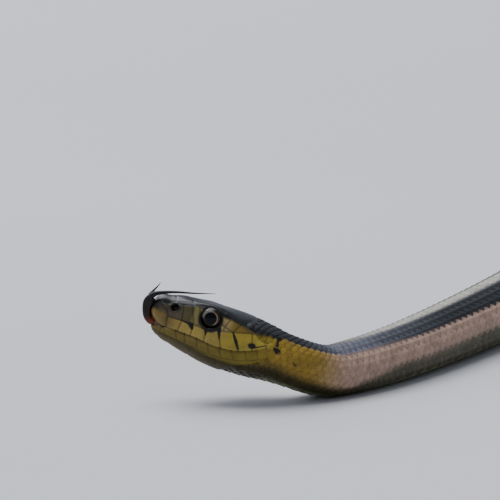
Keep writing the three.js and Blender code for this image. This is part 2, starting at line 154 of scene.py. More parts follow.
# Rails run lengthwise over the left half of head and neck: crown, brow, cheek, mouth, jaw and
# throat. Those between crown and throat have a distance to the side and one upwards.
RAIL_STATIONS = [2, 4.4, 7.2, 9.9, 12.9, 15.9, 18.3, 21, 24, 31]
NECK_HALF_HEIGHT = 3.96
MOUTH_RAIL = 3
THROAT_RAIL = 5


def rail(*values_mm):
    return along_body(RAIL_STATIONS, values_mm, MM)


crown_height = rail(3.15, 3.8, 4.0, 4.12, 4.16, 4.0, 3.65, 3.35, 3.5, NECK_HALF_HEIGHT)
throat_depth = rail(3.0, 4.0, 4.65, 5.15, 5.35, 5.3, 5.1, 4.8, 4.5, NECK_HALF_HEIGHT)
SIDE_RAILS = [
    (  # brow
        rail(1.45, 2.35, 3.15, 3.75, 3.95, 4.1, 3.8, 3.2, 2.8, 2.8),
        rail(2.15, 2.8, 3.35, 3.5, 3.15, 3.0, 2.75, 2.6, 2.7, 3.0),
    ),
    (  # cheek
        rail(2.0, 2.75, 3.5, 4.25, 4.95, 5.25, 4.9, 4.35, 4.1, 4.1),
        rail(0.5, 0.8, 1.1, 1.1, 0.9, 1.0, 1.4, 1.5, 1.4, 1.2),
    ),
    (  # mouth
        rail(1.95, 2.9, 3.8, 4.6, 5.25, 5.55, 5.35, 4.75, 4.4, 4.35),
        rail(-1.55, -1.46, -1.53, -1.8, -1.6, -0.65, 0.45, 0.2, -0.3, -0.6),
    ),
    (  # jaw
        rail(1.35, 2.45, 3.35, 4.05, 4.65, 4.95, 4.8, 4.3, 3.8, 3.0),
        rail(-2.4, -3.1, -3.65, -4.0, -4.0, -3.6, -3.1, -3.0, -3.1, -3.2),
    ),
]


def upwards(s):
    return np.where(s < NECK_DOWN, crown_height(s), half_height(s))


def downwards(s):
    return np.where(s < NECK_DOWN, throat_depth(s), half_height(s))


def head_section(s, v):
    """Distances to the left and up of the head's section at rail coordinate v."""
    sides = [(width(s), height(s)) for width, height in SIDE_RAILS]
    before, after = [(-left, up) for left, up in (sides[0], sides[-1])]
    ring = np.array([before, (0 * s, upwards(s)), *sides, (0 * s, -downwards(s)), after])
    i = np.clip(v.astype(int), 0, THROAT_RAIL - 1)
    t = v - i
    weights = [
        -0.5 * t + t**2 - 0.5 * t**3,
        1 - 2.5 * t**2 + 1.5 * t**3,
        0.5 * t + 2 * t**2 - 1.5 * t**3,
        -0.5 * t**2 + 0.5 * t**3,
    ]
    every = np.arange(len(s))
    return [sum(w * ring[i + j, k, every] for j, w in enumerate(weights)) for k in (0, 1)]


# The trunk's rails, as angles from the crown, and the powers of its oval above and below
RAIL_ANGLES = [0, 40, 70, 98, 136, 180]
UPPER_POWER = 2
LOWER_POWER = 2.5
rail_angle = through(range(len(RAIL_ANGLES)), RAIL_ANGLES)
FINE_RAILS = np.linspace(0, THROAT_RAIL, 501)


def trunk_section(s, v):
    """The trunk's section is an oval, squarer below than above."""
    angle = rail_angle(v) * DEG
    power = np.where(angle < math.pi / 2, UPPER_POWER, LOWER_POWER)
    sine = np.maximum(np.sin(angle), 0)
    cosine = np.cos(angle)
    left = half_width(s) * sine ** (2 / power)
    up = half_height(s) * np.sign(cosine) * np.abs(cosine) ** (2 / power)
    return left, up


HEAD_FADE = (19 * MM, NECK_DOWN)


def section(s, v):
    """Distances to the left and up of the surface: the head's, then softly the trunk's."""
    left, up = trunk_section(s, v)
    near = s < HEAD_FADE[1]
    if near.any():
        head_left, head_up = head_section(s[near], v[near])
        trunk = ease((s[near] - HEAD_FADE[0]) / (HEAD_FADE[1] - HEAD_FADE[0]))
        left[near] = head_left + (left[near] - head_left) * trunk
        up[near] = head_up + (up[near] - head_up) * trunk
    return left, up


# The line through the middle of the body
heading = along_body(
    [0, 18, 22, 26, 30, 36, 44, 56, 80, 105, 165, 232, 300, 366, 436, 500, 556, 590, 620],
    [4, 5, 12, 31, 43, 52, 58, 63, 66, 69, 0, -98, 0, 98, 0, -84, -6, 34, 30],
    DEG,
)
roll = through([AXIS_END, NECK_DOWN], [HEAD_ROLL, 0])


def axis_height(s):
    sink = math.sin(HEAD_PITCH)
    span = NECK_DOWN - AXIS_END
    t = np.clip((s - AXIS_END) / span, 0, 1)
    landed = NECK_HALF_HEIGHT * MM * (1 - BELLY_FLAT)
    bend = hermite(t, span, SNOUT_HEIGHT - AXIS_END * sink, landed, -sink)
    lying = downwards(np.maximum(s, NECK_DOWN)) * (1 - BELLY_FLAT)
    return np.where(s <= AXIS_END, SNOUT_HEIGHT - s * sink, np.where(s < NECK_DOWN, bend, lying))


def middle_line():
    s = np.arange(0, TOTAL_LENGTH + PATH_STEP / 2, PATH_STEP)
    slope = np.arcsin((axis_height(s + PATH_STEP / 2) - axis_height(s - PATH_STEP / 2)) / PATH_STEP)
    onward = heading(s + PATH_STEP / 2)
    level = np.cos(slope) * PATH_STEP
    x, y = [totals(part * level)[:-1] for part in (np.cos(onward), np.sin(onward))]
    return np.array([x, y, axis_height(s), heading(s), slope, roll(s)])


# Rows of x, y, height, heading, slope and roll at every step along the middle line
LINE = middle_line()
START = np.zeros(3)


def place(s, left, up):
    """Points beside the middle line: at station s, so far to the snake's left and up."""
    i = np.clip(np.floor(s / PATH_STEP).astype(int), 0, LINE.shape[1] - 2)
    t = s / PATH_STEP - i
    x, y, z, turn, slope, tilt = LINE[:, i] * (1 - t) + LINE[:, i + 1] * t
    beside = left * np.cos(tilt) + up * np.sin(tilt)
    above = up * np.cos(tilt) - left * np.sin(tilt)
    along = -np.sin(slope) * above
    x = x + np.cos(turn) * along + np.sin(turn) * beside
    y = y + np.sin(turn) * along - np.cos(turn) * beside
    return START + np.stack([x, y, z + np.cos(slope) * above], axis=-1)


# The head has two blunt ends. Each begins at its start, has its full section after its reach, and
# closes at the height of its tip. The snout leans forward above and is undercut below.
SNOUT = {
    "start": 0.0, "reach": 2.2 * MM, "tip": 0.6 * MM, "power": 2.3, "lean": 0.12, "undercut": 0.5 / MM,
}
CHIN = {
    "start": 0.75 * MM, "reach": 3.2 * MM, "tip": -2.1 * MM, "power": 1.6, "lean": 0.0, "undercut": 0.0,
}
LEAN_END = 4 * MM


# The ring coordinate g counts rails from the crown, to the left above 0 and to the right below.

def fold(g):
    """The rail and the side, 1 for left, of a ring coordinate that may pass the throat."""
    far = np.abs(g) > THROAT_RAIL
    v = np.where(far, 2 * THROAT_RAIL - np.abs(g), np.abs(g))
    side = np.where(g < 0, -1, 1) * np.where(far, -1, 1)
    return v, side


def body_point(s, g):
    v, side = fold(g)
    left, up = section(s, v)
    return place(s, side * left, up)


def head_point(half, station, g):
    """Points of the head above the mouth (SNOUT) or below it (CHIN), with its blunt tip."""
    share = np.clip((station - half["start"]) / half["reach"], 0, 1)
    run = 1 - (1 - share ** half["power"]) ** (1 / half["power"])
    s = np.where(share < 1, half["start"] + half["reach"] * run, station)
    v, side = fold(g)
    left, high = section(np.maximum(station, half["start"] + half["reach"]), v)
    up = half["tip"] + (high - half["tip"]) * share
    fade = np.clip(1 - s / LEAN_END, 0, None) ** 2
    ahead = half["lean"] * up - half["undercut"] * np.minimum(up, 0) ** 2
    return place(s - ahead * fade, side * left * share, up)


SHORTEST = 1e-12


def unit(vectors):
    return vectors / np.maximum(np.linalg.norm(vectors, axis=-1, keepdims=True), SHORTEST)


# Steps for slopes of the surface, along the body and in rails round it
NORMAL_STEPS = (0.03 * MM, 0.02)
TIP_CLEARANCE = 0.06 * MM


def outward(point, s, g):
    """Normals of a surface that is given by its point function."""
    ds, dg = NORMAL_STEPS
    along = point(s + ds, g) - point(s - ds, g)
    around = point(s, g + dg) - point(s, g - dg)
    return unit(np.cross(around, along))


def head_outward(half, station, g):
    near = np.maximum(station, half["start"] + TIP_CLEARANCE)
    return outward(lambda s, ring: head_point(half, s, ring), near, g)


# The eyes' places fix the frame: the middle line starts where they agree with the solids.
EYE = {"station": 8.55 * MM, "rail": 1.63, "depth": 1.25 * MM, "sunk": 0.75 * MM}


def on_head(station, g):
    return head_point(SNOUT, np.array([station]), np.array([g]))[0]


def gaze(side):
    at = (np.array([EYE["station"]]), np.array([side * EYE["rail"]]))
    return head_outward(SNOUT, *at)[0]


def eye_centre(side):
    return on_head(EYE["station"], side * EYE["rail"]) - gaze(side) * EYE["sunk"]


def frame_start():
    low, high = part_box("eye_left")
    return (np.array(low) + np.array(high)) / 2 - eye_centre(1)


START = frame_start()


# Shields of the head, by lines across them from front to rear as in the solids, each with an
# inner and an outer end as station and rail
UPPER_SHIELDS = {
    "internasal": [[(0.95, 0), (1.7, 1.1)], [(2.95, 0), (3.05, 1.1)]],
    "prefrontal": [[(2.95, 0), (3.05, 1.1)], [(5.25, 0), (5.6, 1.1)]],
    "frontal": [
        [(5.25, 0), (5.25, 0.42)], [(8, 0), (8, 0.37)],
        [(9.7, 0), (9.7, 0.33)], [(10.7, 0), (10.7, 0.03)],
    ],
    "supraocular": [[(5.25, 0.42), (5.7, 1.12)], [(8, 0.37), (8, 1.06)], [(9.7, 0.33), (10.2, 1.25)]],
    "parietal": [[(10.7, 0), (10.2, 1.25)], [(13.2, 0), (12.7, 1.2)], [(15.9, 0), (15, 0.6)]],
    "nasal": [[(1.9, 1.14), (2.45, 2.2)], [(4.15, 1.12), (4.6, 2.28)]],
    "loreal": [[(4.15, 1.12), (4.6, 2.28)], [(5.4, 1.1), (6.4, 2.34)]],
    "preocular": [[(5.4, 1.1), (6.4, 2.34)], [(6.5, 1.08), (7.2, 2.3)]],
    "upper postocular": [[(10.2, 1.28), (10.3, 1.8)], [(11.45, 1.32), (10.9, 1.84)]],
    "lower postocular": [[(10.3, 1.8), (10.05, 2.18)], [(10.95, 1.84), (10.8, 2.12)]],
    "front temporal": [[(11.45, 1.3), (10.95, 1.84)], [(13.2, 1.3), (12.3, 1.95)]],
    "rear temporal": [[(13.2, 1.3), (12.3, 1.95)], [(15.1, 1.28), (15.1, 1.6)]],
}
UPPER_LIP_TOPS = [
    (2.45, 2.2), (4.6, 2.28), (6.45, 2.34), (8.45, 2.39), (10.2, 2.18), (12.3, 1.95), (15.15, 1.62),
    (16.9, 1.6),
]
UPPER_LIP_FEET = [2.5, 4.4, 6.4, 8.55, 11.25, 13.85, 15.85, 17.8]
LOWER_LIP_TOPS = [3.05, 4.1, 5.5, 7.4, 9.2, 11, 12.9, 14.8, 16.4, 17.8]
CHIN_SHIELDS = [
    [[(3.1, 3.85), (3.1, 5)], [(7, 3.75), (7.4, 5)]],
    [[(7, 3.75), (7.4, 5)], [(11.2, 3.85), (12, 4.7)]],
]
lower_lip_foot = through([3, 6, 12, 18], [3.85, 3.7, 3.58, 3.5])
rostral_reach = through([0, 0.5, 1.1, 1.5, 2, 3], [0.85, 0.95, 1.6, 2.05, 2.3, 2.45])
MENTAL_REACH = 3.0
LOWER_LIP_SLANT = 0.7
ROSTRAL_SEAM_POINTS = 13
MENTAL_SEAM_POINTS = 9


def outline(lines):
    """The closed outline of a shield."""
    left = [line[0] for line in lines]
    right = [line[1] for line in lines]
    return left + right[::-1] + left[:1]


def upper_sutures():
    """Seams between the shields above the mouth, as lines of stations and rails."""
    seams = [outline(lines) for lines in UPPER_SHIELDS.values()]
    seams.append(UPPER_LIP_TOPS)
    seams += [[top, (foot, MOUTH_RAIL)] for top, foot in zip(UPPER_LIP_TOPS, UPPER_LIP_FEET)]
    seams.append([(float(rostral_reach(v)), v) for v in np.linspace(0, MOUTH_RAIL, ROSTRAL_SEAM_POINTS)])
    return seams


def lower_sutures():
    seams = [outline(lines) for lines in CHIN_SHIELDS]
    seams.append([(s, float(lower_lip_foot(s))) for s in LOWER_LIP_TOPS])
    for s in LOWER_LIP_TOPS:
        seams.append([(s, MOUTH_RAIL), (s + LOWER_LIP_SLANT, float(lower_lip_foot(s)))])
    seams.append([(MENTAL_REACH, v) for v in np.linspace(MOUTH_RAIL, THROAT_RAIL, MENTAL_SEAM_POINTS)])
    return seams


SEAM_STEP = 0.08 * MM


def seam_points(half, seams):
    """Points along the seams of both sides, close enough for distances to them."""
    points = []
    for seam in seams:
        for (s0, v0), (s1, v1) in zip(seam, seam[1:]):
            ends = head_point(half, MM * np.array([s0, s1]), np.array([v0, v1], float))
            count = max(2, int(np.linalg.norm(ends[1] - ends[0]) / SEAM_STEP))
            s = MM * np.linspace(s0, s1, count)
            v = np.linspace(v0, v1, count)
            points += [head_point(half, s, v), head_point(half, s, -v)]
    return np.concatenate(points)


def nearest(points, to):
    """The distance from each point to the nearest of the others."""
    tree = kdtree.KDTree(len(to))
    for i, point in enumerate(to):
        tree.insert(point, i)
    tree.balance()
    return np.array([tree.find(point)[2] for point in points])


# Markings: colours in sRGB as the eye sees them, mixed by place on the body, some of them painted
# shade and sheen

def colour(code):
    """Linear RGB of an sRGB hex code."""
    srgb = np.array([int(code[i : i + 2], 16) for i in (0, 2, 4)]) / 255
    return np.where(srgb <= 0.04045, srgb / 12.92, ((srgb + 0.055) / 1.055) ** 2.4)


CROWN = colour("1e2021")
ROSTRAL_DARK = colour("2a241c")
SNOUT_SIDE = colour("584d3a")
LOREAL_TAN = colour("564c2c")
PREOCULAR_YELLOW = colour("7e7440")
FRONT_LIP = colour("816b34")
MIDDLE_LIP = colour("a68f44")
REAR_LIP = colour("a7912f")
POSTOCULAR = colour("a48e58")
TEMPORAL = colour("846c20")
LOWER_LIP_FRONT = colour("76662f")
LOWER_LIP_REAR = colour("84762a")
LOWER_LIP_END = colour("947a28")
CHIN_FRONT = colour("584e2c")
# Olive of the chin and throat, darkened by painted shade under the head and neck
THROAT = colour("403816")
BAR = colour("160d06")
MOUTH_RED = colour("4a1b12")
BACK = colour("1a1d20")
# Blue-grey of the back where a sheen of the sky is painted on it
PAINTED_SHEEN_BACK = colour("646773")
NECK_GOLD = colour("a98930")
SIDE_PEACH = colour("c6a490")
STRIPE = colour("b8b4a6")
STRIPE_NAPE = colour("5a5c52")
LOW_SIDE = colour("5c5642")
BELLY = colour("8a8a68")

# The lower edge of the dark field, as a rail coordinate over stations in millimetres. Over the eye,
# from 5.5 to 8, it lies lower, so that the dark there is partly painted shade under the brow.
dark_edge = along_body(
    [0, 2, 5.5, 8, 10.7, 11.6, 14.1, 16.4, 17.9, 18.8, 19.6, 21, 23.2, 31, 42, 50, 75, 160],
    [1.7, 1.22, 1.18, 1.24, 1.4, 1.3, 1.46, 1.54, 1.44, 1.4, 1.16, 1.14, 1.14, 1.12, 1.16, 1.28, 1.36, 2.1],
)
# The upper edge of the pale lip, which is higher on the rostral than on the labials
lip_top = along_body(
    [0, 2.2, 2.5, 6.5, 10, 12.3, 15.2, 17],
    [2.0, 2.0, 2.22, 2.34, 2.3, 1.95, 1.62, 1.6],
)

# Half the width of the stripe along the back, in rails
stripe_half = along_body([20, 30, 45, 60, 478, 600], [0.05, 0.18, 0.3, 0.36, 0.36, 0.42])

# Where a blue sheen of the sky is painted on the dark back, behind the neck
painted_sheen_share = along_body([22, 26, 30, 34, 42, 60], [0, 0.4, 1, 1, 0.5, 0])

# The stripe's middle as a ring coordinate: the body rolls a little in its first bend
stripe_middle = along_body([20, 45, 110, 150], [0, -0.2, -0.2, 0])

# How far down the pale side stripe reaches below the dark field, in rails
stripe_depth = along_body([24, 45, 160], [3, 1.6, 0.95])

# Changes of colour from front to rear: the middle and the length of each in millimetres, and the
# colour that it leads to
SIDE_CHANGES = [
    (1.9, 0.5, SNOUT_SIDE),
    (4.3, 0.5, LOREAL_TAN),
    (5.9, 0.4, PREOCULAR_YELLOW),
    (9.2, 1.6, POSTOCULAR),
    (11.8, 1.2, TEMPORAL),
]
LIP_CHANGES = [(3.6, 2.2, MIDDLE_LIP), (11, 4, REAR_LIP)]
LOWER_LIP_CHANGES = [(11, 9, LOWER_LIP_REAR), (17, 3.5, LOWER_LIP_END)]
# The chin darkens backwards into the throat's painted shade
CHIN_CHANGES = [(8, 6, THROAT)]
BODY_CHANGES = [(27.5, 7, SIDE_PEACH), (380, 300, LOW_SIDE)]

# Where marks begin or end along the body: the middle and the length of each change, in millimetres
ROSTRAL_END = (2.3, 0.4)
HEAD_COLOURS_END = (18.6, 1.6)
STRIPE_START = (22, 6)
STRIPE_PALE = (38, 20)
THROAT_END = (34, 12)
BELLY_FULL = (38, 16)
SPOTS_START = (40, 20)

# Edges between colours round the body: the middle and the width of each change, in rails
MOUTH_EDGE = (MOUTH_RAIL, 0.02)
CHIN_EDGE = (3.75, 0.3)
THROAT_EDGE = (3.6, 0.7)
BELLY_EDGE = 3.85
NECK_BELLY_DROP = 0.6

# Widths in rails over which edges are soft
LIP_SOFT = 0.1
ROSTRAL_SOFT = 0.5
DARK_SOFT = 0.14
PARIETAL_SOFT = 0.24
PARIETAL_PLACE = (14, 3)
LOW_SIDE_SOFT = 0.5
BELLY_SOFT = 0.3
BACK_SOFT = 0.25
STRIPE_SOFT = 0.12

# Small dark spots along the edge of the belly: pitch in millimetres, length as a share of it
SPOT_PITCH = 3.1
SPOT_LENGTH = 0.3
SPOT_ROW = (3.75, 0.14)
SPOT_STRENGTH = 0.8

# Round dark marks of the head, in millimetres: round the eyes and nostrils they are painted shade
# in the socket and the nostril pit, and dark skin beyond. A rail counts for rail_size of them.
EYE_PIT_SHADE_AND_MARK = {"station": 8.6, "rail": 1.72, "rail_size": 2.6, "radius": 1.88, "soft": 0.3, "strength": 1}
NOSTRIL_PIT_SHADE_AND_MARK = {
    "station": 3.1, "rail": 1.44, "rail_size": 2.2, "radius": 0.85, "soft": 0.5, "strength": 0.85,
}


def mix(base, mask, other):
    return base + np.asarray(mask)[..., None] * (other - base)


def changing(first, changes, mm):
    tint = first
    for middle, length, after in changes:
        tint = mix(tint, step_up(mm, middle, length), after)
    return tint


def round_mark(mm, v, mark):
    away = np.hypot(mm - mark["station"], (v - mark["rail"]) * mark["rail_size"])
    return mark["strength"] * (1 - step_up(away, mark["radius"], mark["soft"]))


BAR_RAIL_SIZE = 3.1
BAR_SOFT = 0.14


def bar(s, v, start, end):
    """A mark from one place to another, with a station, a rail and half a width at each."""
    a, b = [complex(mm, rail * BAR_RAIL_SIZE) for mm, rail, _ in (start, end)]
    here = s / MM + 1j * BAR_RAIL_SIZE * v - a
    share = np.clip((here / (b - a)).real, 0, 1)
    half = start[2] + (end[2] - start[2]) * share
    return 1 - step_up(np.abs(here - share * (b - a)), half, BAR_SOFT)


# Bars on the lips, cheek and neck, and a painted shade under the brow: station, rail and half width
# at each end or bend
MARKS = [
    [(12.35, 1.95, 0.14), (13.1, 2.4, 0.26), (13.85, 2.9, 0.12)],
    [(8.4, 2.3, 0.34), (8.5, 2.62, 0.12)],
    [(10.15, 2.05, 0.36), (10.65, 2.58, 0.1)],
    # Painted shade under the brow ridge, above the eye
    [(5.7, 1.0, 0.22), (7.3, 1.12, 0.5), (11.0, 1.16, 0.36)],
    [(4.6, 2.26, 0.12), (6.1, 2.36, 0.26)],
    [(6.0, 2.36, 0.4), (6.35, 2.56, 0.24)],
    [(15.5, 2.5, 0.56), (15.65, 2.66, 0.5)],
    [(15.6, 2.74, 0.3), (17.6, 2.76, 0.14)],
    [(19.0, 1.45, 0.17), (19.1, 2.5, 0.16)],
    [(19.0, 1.2, 0.5), (19.05, 1.6, 0.16)],
    [(19.2, 2.86, 0.6), (19.3, 2.98, 0.54)],
    [(22.15, 3.1, 0.28), (22.25, 3.15, 0.2)],
]


def head_colours(s, v):
    mm = s / MM
    tint = changing(ROSTRAL_DARK, SIDE_CHANGES, mm)
    lip_soft = LIP_SOFT + ROSTRAL_SOFT * (1 - step_up(mm, *ROSTRAL_END))
    tint = mix(tint, step_up(v, lip_top(s), lip_soft), changing(FRONT_LIP, LIP_CHANGES, mm))
    tint = mix(tint, step_up(v, *MOUTH_EDGE), changing(LOWER_LIP_FRONT, LOWER_LIP_CHANGES, mm))
    tint = mix(tint, step_up(v, *CHIN_EDGE), changing(CHIN_FRONT, CHIN_CHANGES, mm))
    # Painted shade in the eye socket and the nostril pit, and dark skin round them
    tint = mix(tint, round_mark(mm, v, EYE_PIT_SHADE_AND_MARK), BAR)
    tint = mix(tint, round_mark(mm, v, NOSTRIL_PIT_SHADE_AND_MARK), BAR)
    dark_soft = DARK_SOFT + PARIETAL_SOFT * bump(mm, *PARIETAL_PLACE)
    return mix(tint, 1 - step_up(v, dark_edge(s), dark_soft), CROWN)


def belly_spots(mm, v):
    along = bump((mm / SPOT_PITCH) % 1, 0.5, SPOT_LENGTH)
    return SPOT_STRENGTH * along * bump(v, *SPOT_ROW) * step_up(mm, *SPOTS_START)


def body_colours(s, v, g):
    mm = s / MM
    tint = changing(NECK_GOLD, BODY_CHANGES, mm)
    tint = mix(tint, step_up(v, dark_edge(s) + stripe_depth(s), LOW_SIDE_SOFT), LOW_SIDE)
    # The underside of the neck, darkened by painted shade under it as far as THROAT_END
    tint = mix(tint, step_up(v, *THROAT_EDGE) * (1 - step_up(mm, *THROAT_END)), THROAT)
    belly_edge = BELLY_EDGE + NECK_BELLY_DROP * (1 - step_up(mm, *BELLY_FULL))
    tint = mix(tint, step_up(v, belly_edge, BELLY_SOFT), BELLY)
    tint = mix(tint, belly_spots(mm, v), BAR)
    # The dark back, with a painted blue sheen of the sky behind the neck
    back = mix(BACK, painted_sheen_share(s), PAINTED_SHEEN_BACK)
    tint = mix(tint, 1 - step_up(v, dark_edge(s), BACK_SOFT), back)
    stripe = mix(STRIPE_NAPE, step_up(mm, *STRIPE_PALE), STRIPE)
    beside = np.abs(np.where(v < MOUTH_RAIL, g, THROAT_RAIL) - stripe_middle(s))
    within = 1 - step_up(beside, stripe_half(s), STRIPE_SOFT)
    return mix(tint, within * step_up(mm, *STRIPE_START), stripe)


def markings(s, g):
    """The colour of the animal at a place, with painted shade and sheen in some parts. Skin and scales both
    take theirs from here.
    """
    v, _ = fold(g)
    tint = mix(head_colours(s, v), step_up(s / MM, *HEAD_COLOURS_END), body_colours(s, v, g))
    for mark in MARKS:
        for start, end in zip(mark, mark[1:]):
            tint = mix(tint, bar(s, v, start, end), BAR)
    return tint


# Rows of scales are spread evenly round the girth. An angle is a share of the half girth, where
# 180 degrees reach from the crown to the middle of the belly.
GIRTH_STATIONS = np.linspace(10 * MM, 40 * MM, 61)
DEGREES = np.linspace(0, 180, 361)


def girth_table():
    rows = []
    for s in GIRTH_STATIONS:
        left, up = section(np.full(len(FINE_RAILS), s), FINE_RAILS)
        arc = totals(np.hypot(np.diff(left), np.diff(up)))
        rows.append(180 * arc / arc[-1])
    return np.array(rows)


ANGLES = girth_table()
RAILS = np.array([np.interp(DEGREES, row, FINE_RAILS) for row in ANGLES])


def look_up(table, s, share):
    """Reads a table of stations by shares, between its entries."""
    first, last = GIRTH_STATIONS[0], GIRTH_STATIONS[-1]
    row = np.clip((s - first) / (last - first), 0, 1) * (len(table) - 1)
    column = np.clip(share, 0, 1) * (table.shape[1] - 1)
    i = np.minimum(row.astype(int), len(table) - 2)
    j = np.minimum(column.astype(int), table.shape[1] - 2)
    a, b = row - i, column - j
    near = table[i, j] * (1 - b) + table[i, j + 1] * b
    far = table[i + 1, j] * (1 - b) + table[i + 1, j + 1] * b
    return near * (1 - a) + far * a


def angle_of(s, g):
    """The angle from the crown, in degrees, positive to the left."""
    v, side = fold(g)
    return side * look_up(ANGLES, s, v / THROAT_RAIL)


def ring_of(s, angle):
    """The ring coordinate at an angle."""
    s, angle = np.broadcast_arrays(s, angle)
    wrapped = (angle + 180) % 360 - 180
    return np.sign(wrapped) * look_up(RAILS, s, np.abs(wrapped) / 180)


# Unwrap of the skin: stations one way and the ring the other, with more room for the head
UNWRAP = through([0, 18 * MM, 40 * MM, TOTAL_LENGTH], [0.01, 0.34, 0.5, 0.99])
MARGIN = 0.01
PATCH = 0.003


def unwrap(s, g):
    ring = (angle_of(s, g) + 180) / 360
    return np.stack([UNWRAP(s), MARGIN + (1 - 2 * MARGIN) * ring], axis=-1)


def put(name, data):
    """Adds an object to the scene."""
    thing = bpy.data.objects.new(name, data)
    bpy.context.scene.collection.objects.link(thing)
    return thing


def make_object(name, vertices, faces):
    mesh = bpy.data.meshes.new(name)
    mesh.from_pydata(vertices.tolist(), [], faces)
    mesh.polygons.foreach_set("use_smooth", [True] * len(mesh.polygons))
    mesh.update()
    return put(name, mesh)


def give_colours(piece, tints):
    layer = piece.data.attributes.new("tint", "FLOAT_COLOR", "POINT")
    full = np.concatenate([np.clip(tints, 0, 1), np.ones((len(tints), 1))], axis=1)
    layer.data.foreach_set("color", full.ravel())


def give_values(piece, name, values):
    layer = piece.data.attributes.new(name, "FLOAT", "POINT")
    layer.data.foreach_set("value", values)


def every_pair(a, b):
    """All pairs of the values of two lists, as two flat arrays."""
    return [values.ravel() for values in np.meshgrid(a, b, indexing="ij")]


def give_unwrap(piece, places):
    layer = piece.data.uv_layers.new(name="OFBake")
    corners = np.empty(len(piece.data.loops), dtype=np.int32)
    piece.data.loops.foreach_get("vertex_index", corners)
    layer.data.foreach_set("uv", places[corners].ravel())


# Skin: the head's rings of points are closest at the snout, and the body has a share of the columns

HEAD_END = 24 * MM
HEAD_ROWS = 212
ROW_POWER = 1.15
UPPER_COLUMNS = 73
LOWER_COLUMNS = 47
BODY_SHARE = 4
BODY_ROW = 1.0 * MM
CHIN_CATCH_UP = 5 * MM


def head_columns():
    """Ring coordinates round the head from the crown, and what half each belongs to."""
    upper = [(g, "upper") for g in np.linspace(0, MOUTH_RAIL, UPPER_COLUMNS)]
    lower = [(g, "lower") for g in np.linspace(MOUTH_RAIL, THROAT_RAIL, LOWER_COLUMNS)]
    left = upper + [(MOUTH_RAIL, "groove")] + lower
    right = [(-g, kind) for g, kind in left[1:-1][::-1]]
    return left + right


def chin_station(s):
    """The lower half starts further back, and catches up behind the chin's tip."""
    start = CHIN["start"]
    return np.where(s < CHIN_CATCH_UP, start + s * (1 - start / CHIN_CATCH_UP), s)


# Where the shields end and small scales begin, in millimetres, over the rails
shields_end = through([0, 0.6, 1.2, 1.6, 2.9, 3.5, 4, 5], [15.9, 15, 13.6, 15.6, 18.2, 17.8, 13.5, 12.8])
ZONE_SOFT = 1.2


def scaled_zone(s, v):
    """1 where small scales cover the skin: behind the shields."""
    return step_up(s / MM, shields_end(v), ZONE_SOFT)


# Relief of the head in millimetres: each shield swells from its seams, more so on the lips
SHIELD_RISE = 0.03
SHIELD_EASE = 0.4
SEAM_CUT = 0.02
SEAM_HALF = 0.14
LIP_SWELL = 1.2
LIP_SWELL_EDGE = (2.2, 0.4)
UPPER_LIP_TUCK = (0.06, 0.05)
LOWER_LIP_TUCK = (0.24, 0.15)
TUCK_END = (17.2, 2.4)
BROW_PLACE = (8.4, 2.6)
brow_ridge = through([0, 0.3, 0.82, 1.02, 5], [0, 0, 0.22, 0, 0])
SOCKET_EDGE = (1.56, 0.1)
SOCKET_DEPTH = 1.0
NOSTRIL = {"station": 3.05 * MM, "rail": 1.42, "depth": 0.9, "rim": 0.07}
NOSTRIL_EDGE = (0.48, 0.3)
NOSTRIL_RIM = (0.68, 0.14)


def away_from(points, station, g):
    """Distances in millimetres to a place on the head."""
    return np.linalg.norm(points - on_head(station, g), axis=-1) / MM


def head_relief(points, s, v, gap, below):
    """How far the skin of the head stands out: shields, seams, lips, nostrils and sockets."""
    mm = s / MM
    bare = 1 - scaled_zone(s, v)
    shields = SHIELD_RISE * (1 - np.exp(-gap / SHIELD_EASE)) - SEAM_CUT * bump(gap, 0, SEAM_HALF)
    shields = shields * (1 + LIP_SWELL * step_up(v, *LIP_SWELL_EDGE))
    tuck, reach = [np.where(below, *pair) for pair in zip(LOWER_LIP_TUCK, UPPER_LIP_TUCK)]
    lips = -tuck * bump(v, MOUTH_RAIL, reach) * (1 - step_up(mm, *TUCK_END))
    brow = brow_ridge(v) * bump(mm, *BROW_PLACE)
    relief = bare * shields - (1 - bare) * NAPE_DEPTH / MM + lips + brow
    for side in (1, -1):
        socket = 1 - step_up(away_from(points, EYE["station"], side * EYE["rail"]), *SOCKET_EDGE)
        relief = relief * (1 - socket) - SOCKET_DEPTH * socket
        nostril = away_from(points, NOSTRIL["station"], side * NOSTRIL["rail"])
        relief = relief - NOSTRIL["depth"] * (1 - step_up(nostril, *NOSTRIL_EDGE))
        relief = relief + NOSTRIL["rim"] * bump(nostril, *NOSTRIL_RIM)
    return relief * MM


UPPER_SEAM_SHADE = 0.78
LOWER_SEAM_SHADE = 0.4
SEAM_SHADE_HALF = 0.1


def seam_shade(s, v, gap):
    """Darkens the skin along the seams between shields."""
    strength = np.where(v > MOUTH_RAIL, LOWER_SEAM_SHADE, UPPER_SEAM_SHADE) * (1 - scaled_zone(s, v))
    return 1 - strength * bump(gap, 0, SEAM_SHADE_HALF)


CHIN_ROUGHNESS = 0.9
CHIN_MATTE_EDGE = (3.07, 0.14)


def matte(g):
    """The chin and throat are drier than the crown and lips."""
    v, _ = fold(g)
    return CHIN_ROUGHNESS * step_up(v, *CHIN_MATTE_EDGE)


# The groove of the mouth runs inwards from the meeting of the lips, and closes behind the corner.
GROOVE_DEEP = 0.5 * MM
GROOVE_AIM = 1.5 * MM
MOUTH_CORNER = (17.9, 1.2)


def mouth_groove(s, upper, lower, normals, closed):
    inward = unit(place(s, 0 * s, 0 * s - GROOVE_AIM) - (upper + lower) / 2)
    return (upper + lower) / 2 + inward * GROOVE_DEEP * (1 - closed) - normals * NAPE_DEPTH * closed


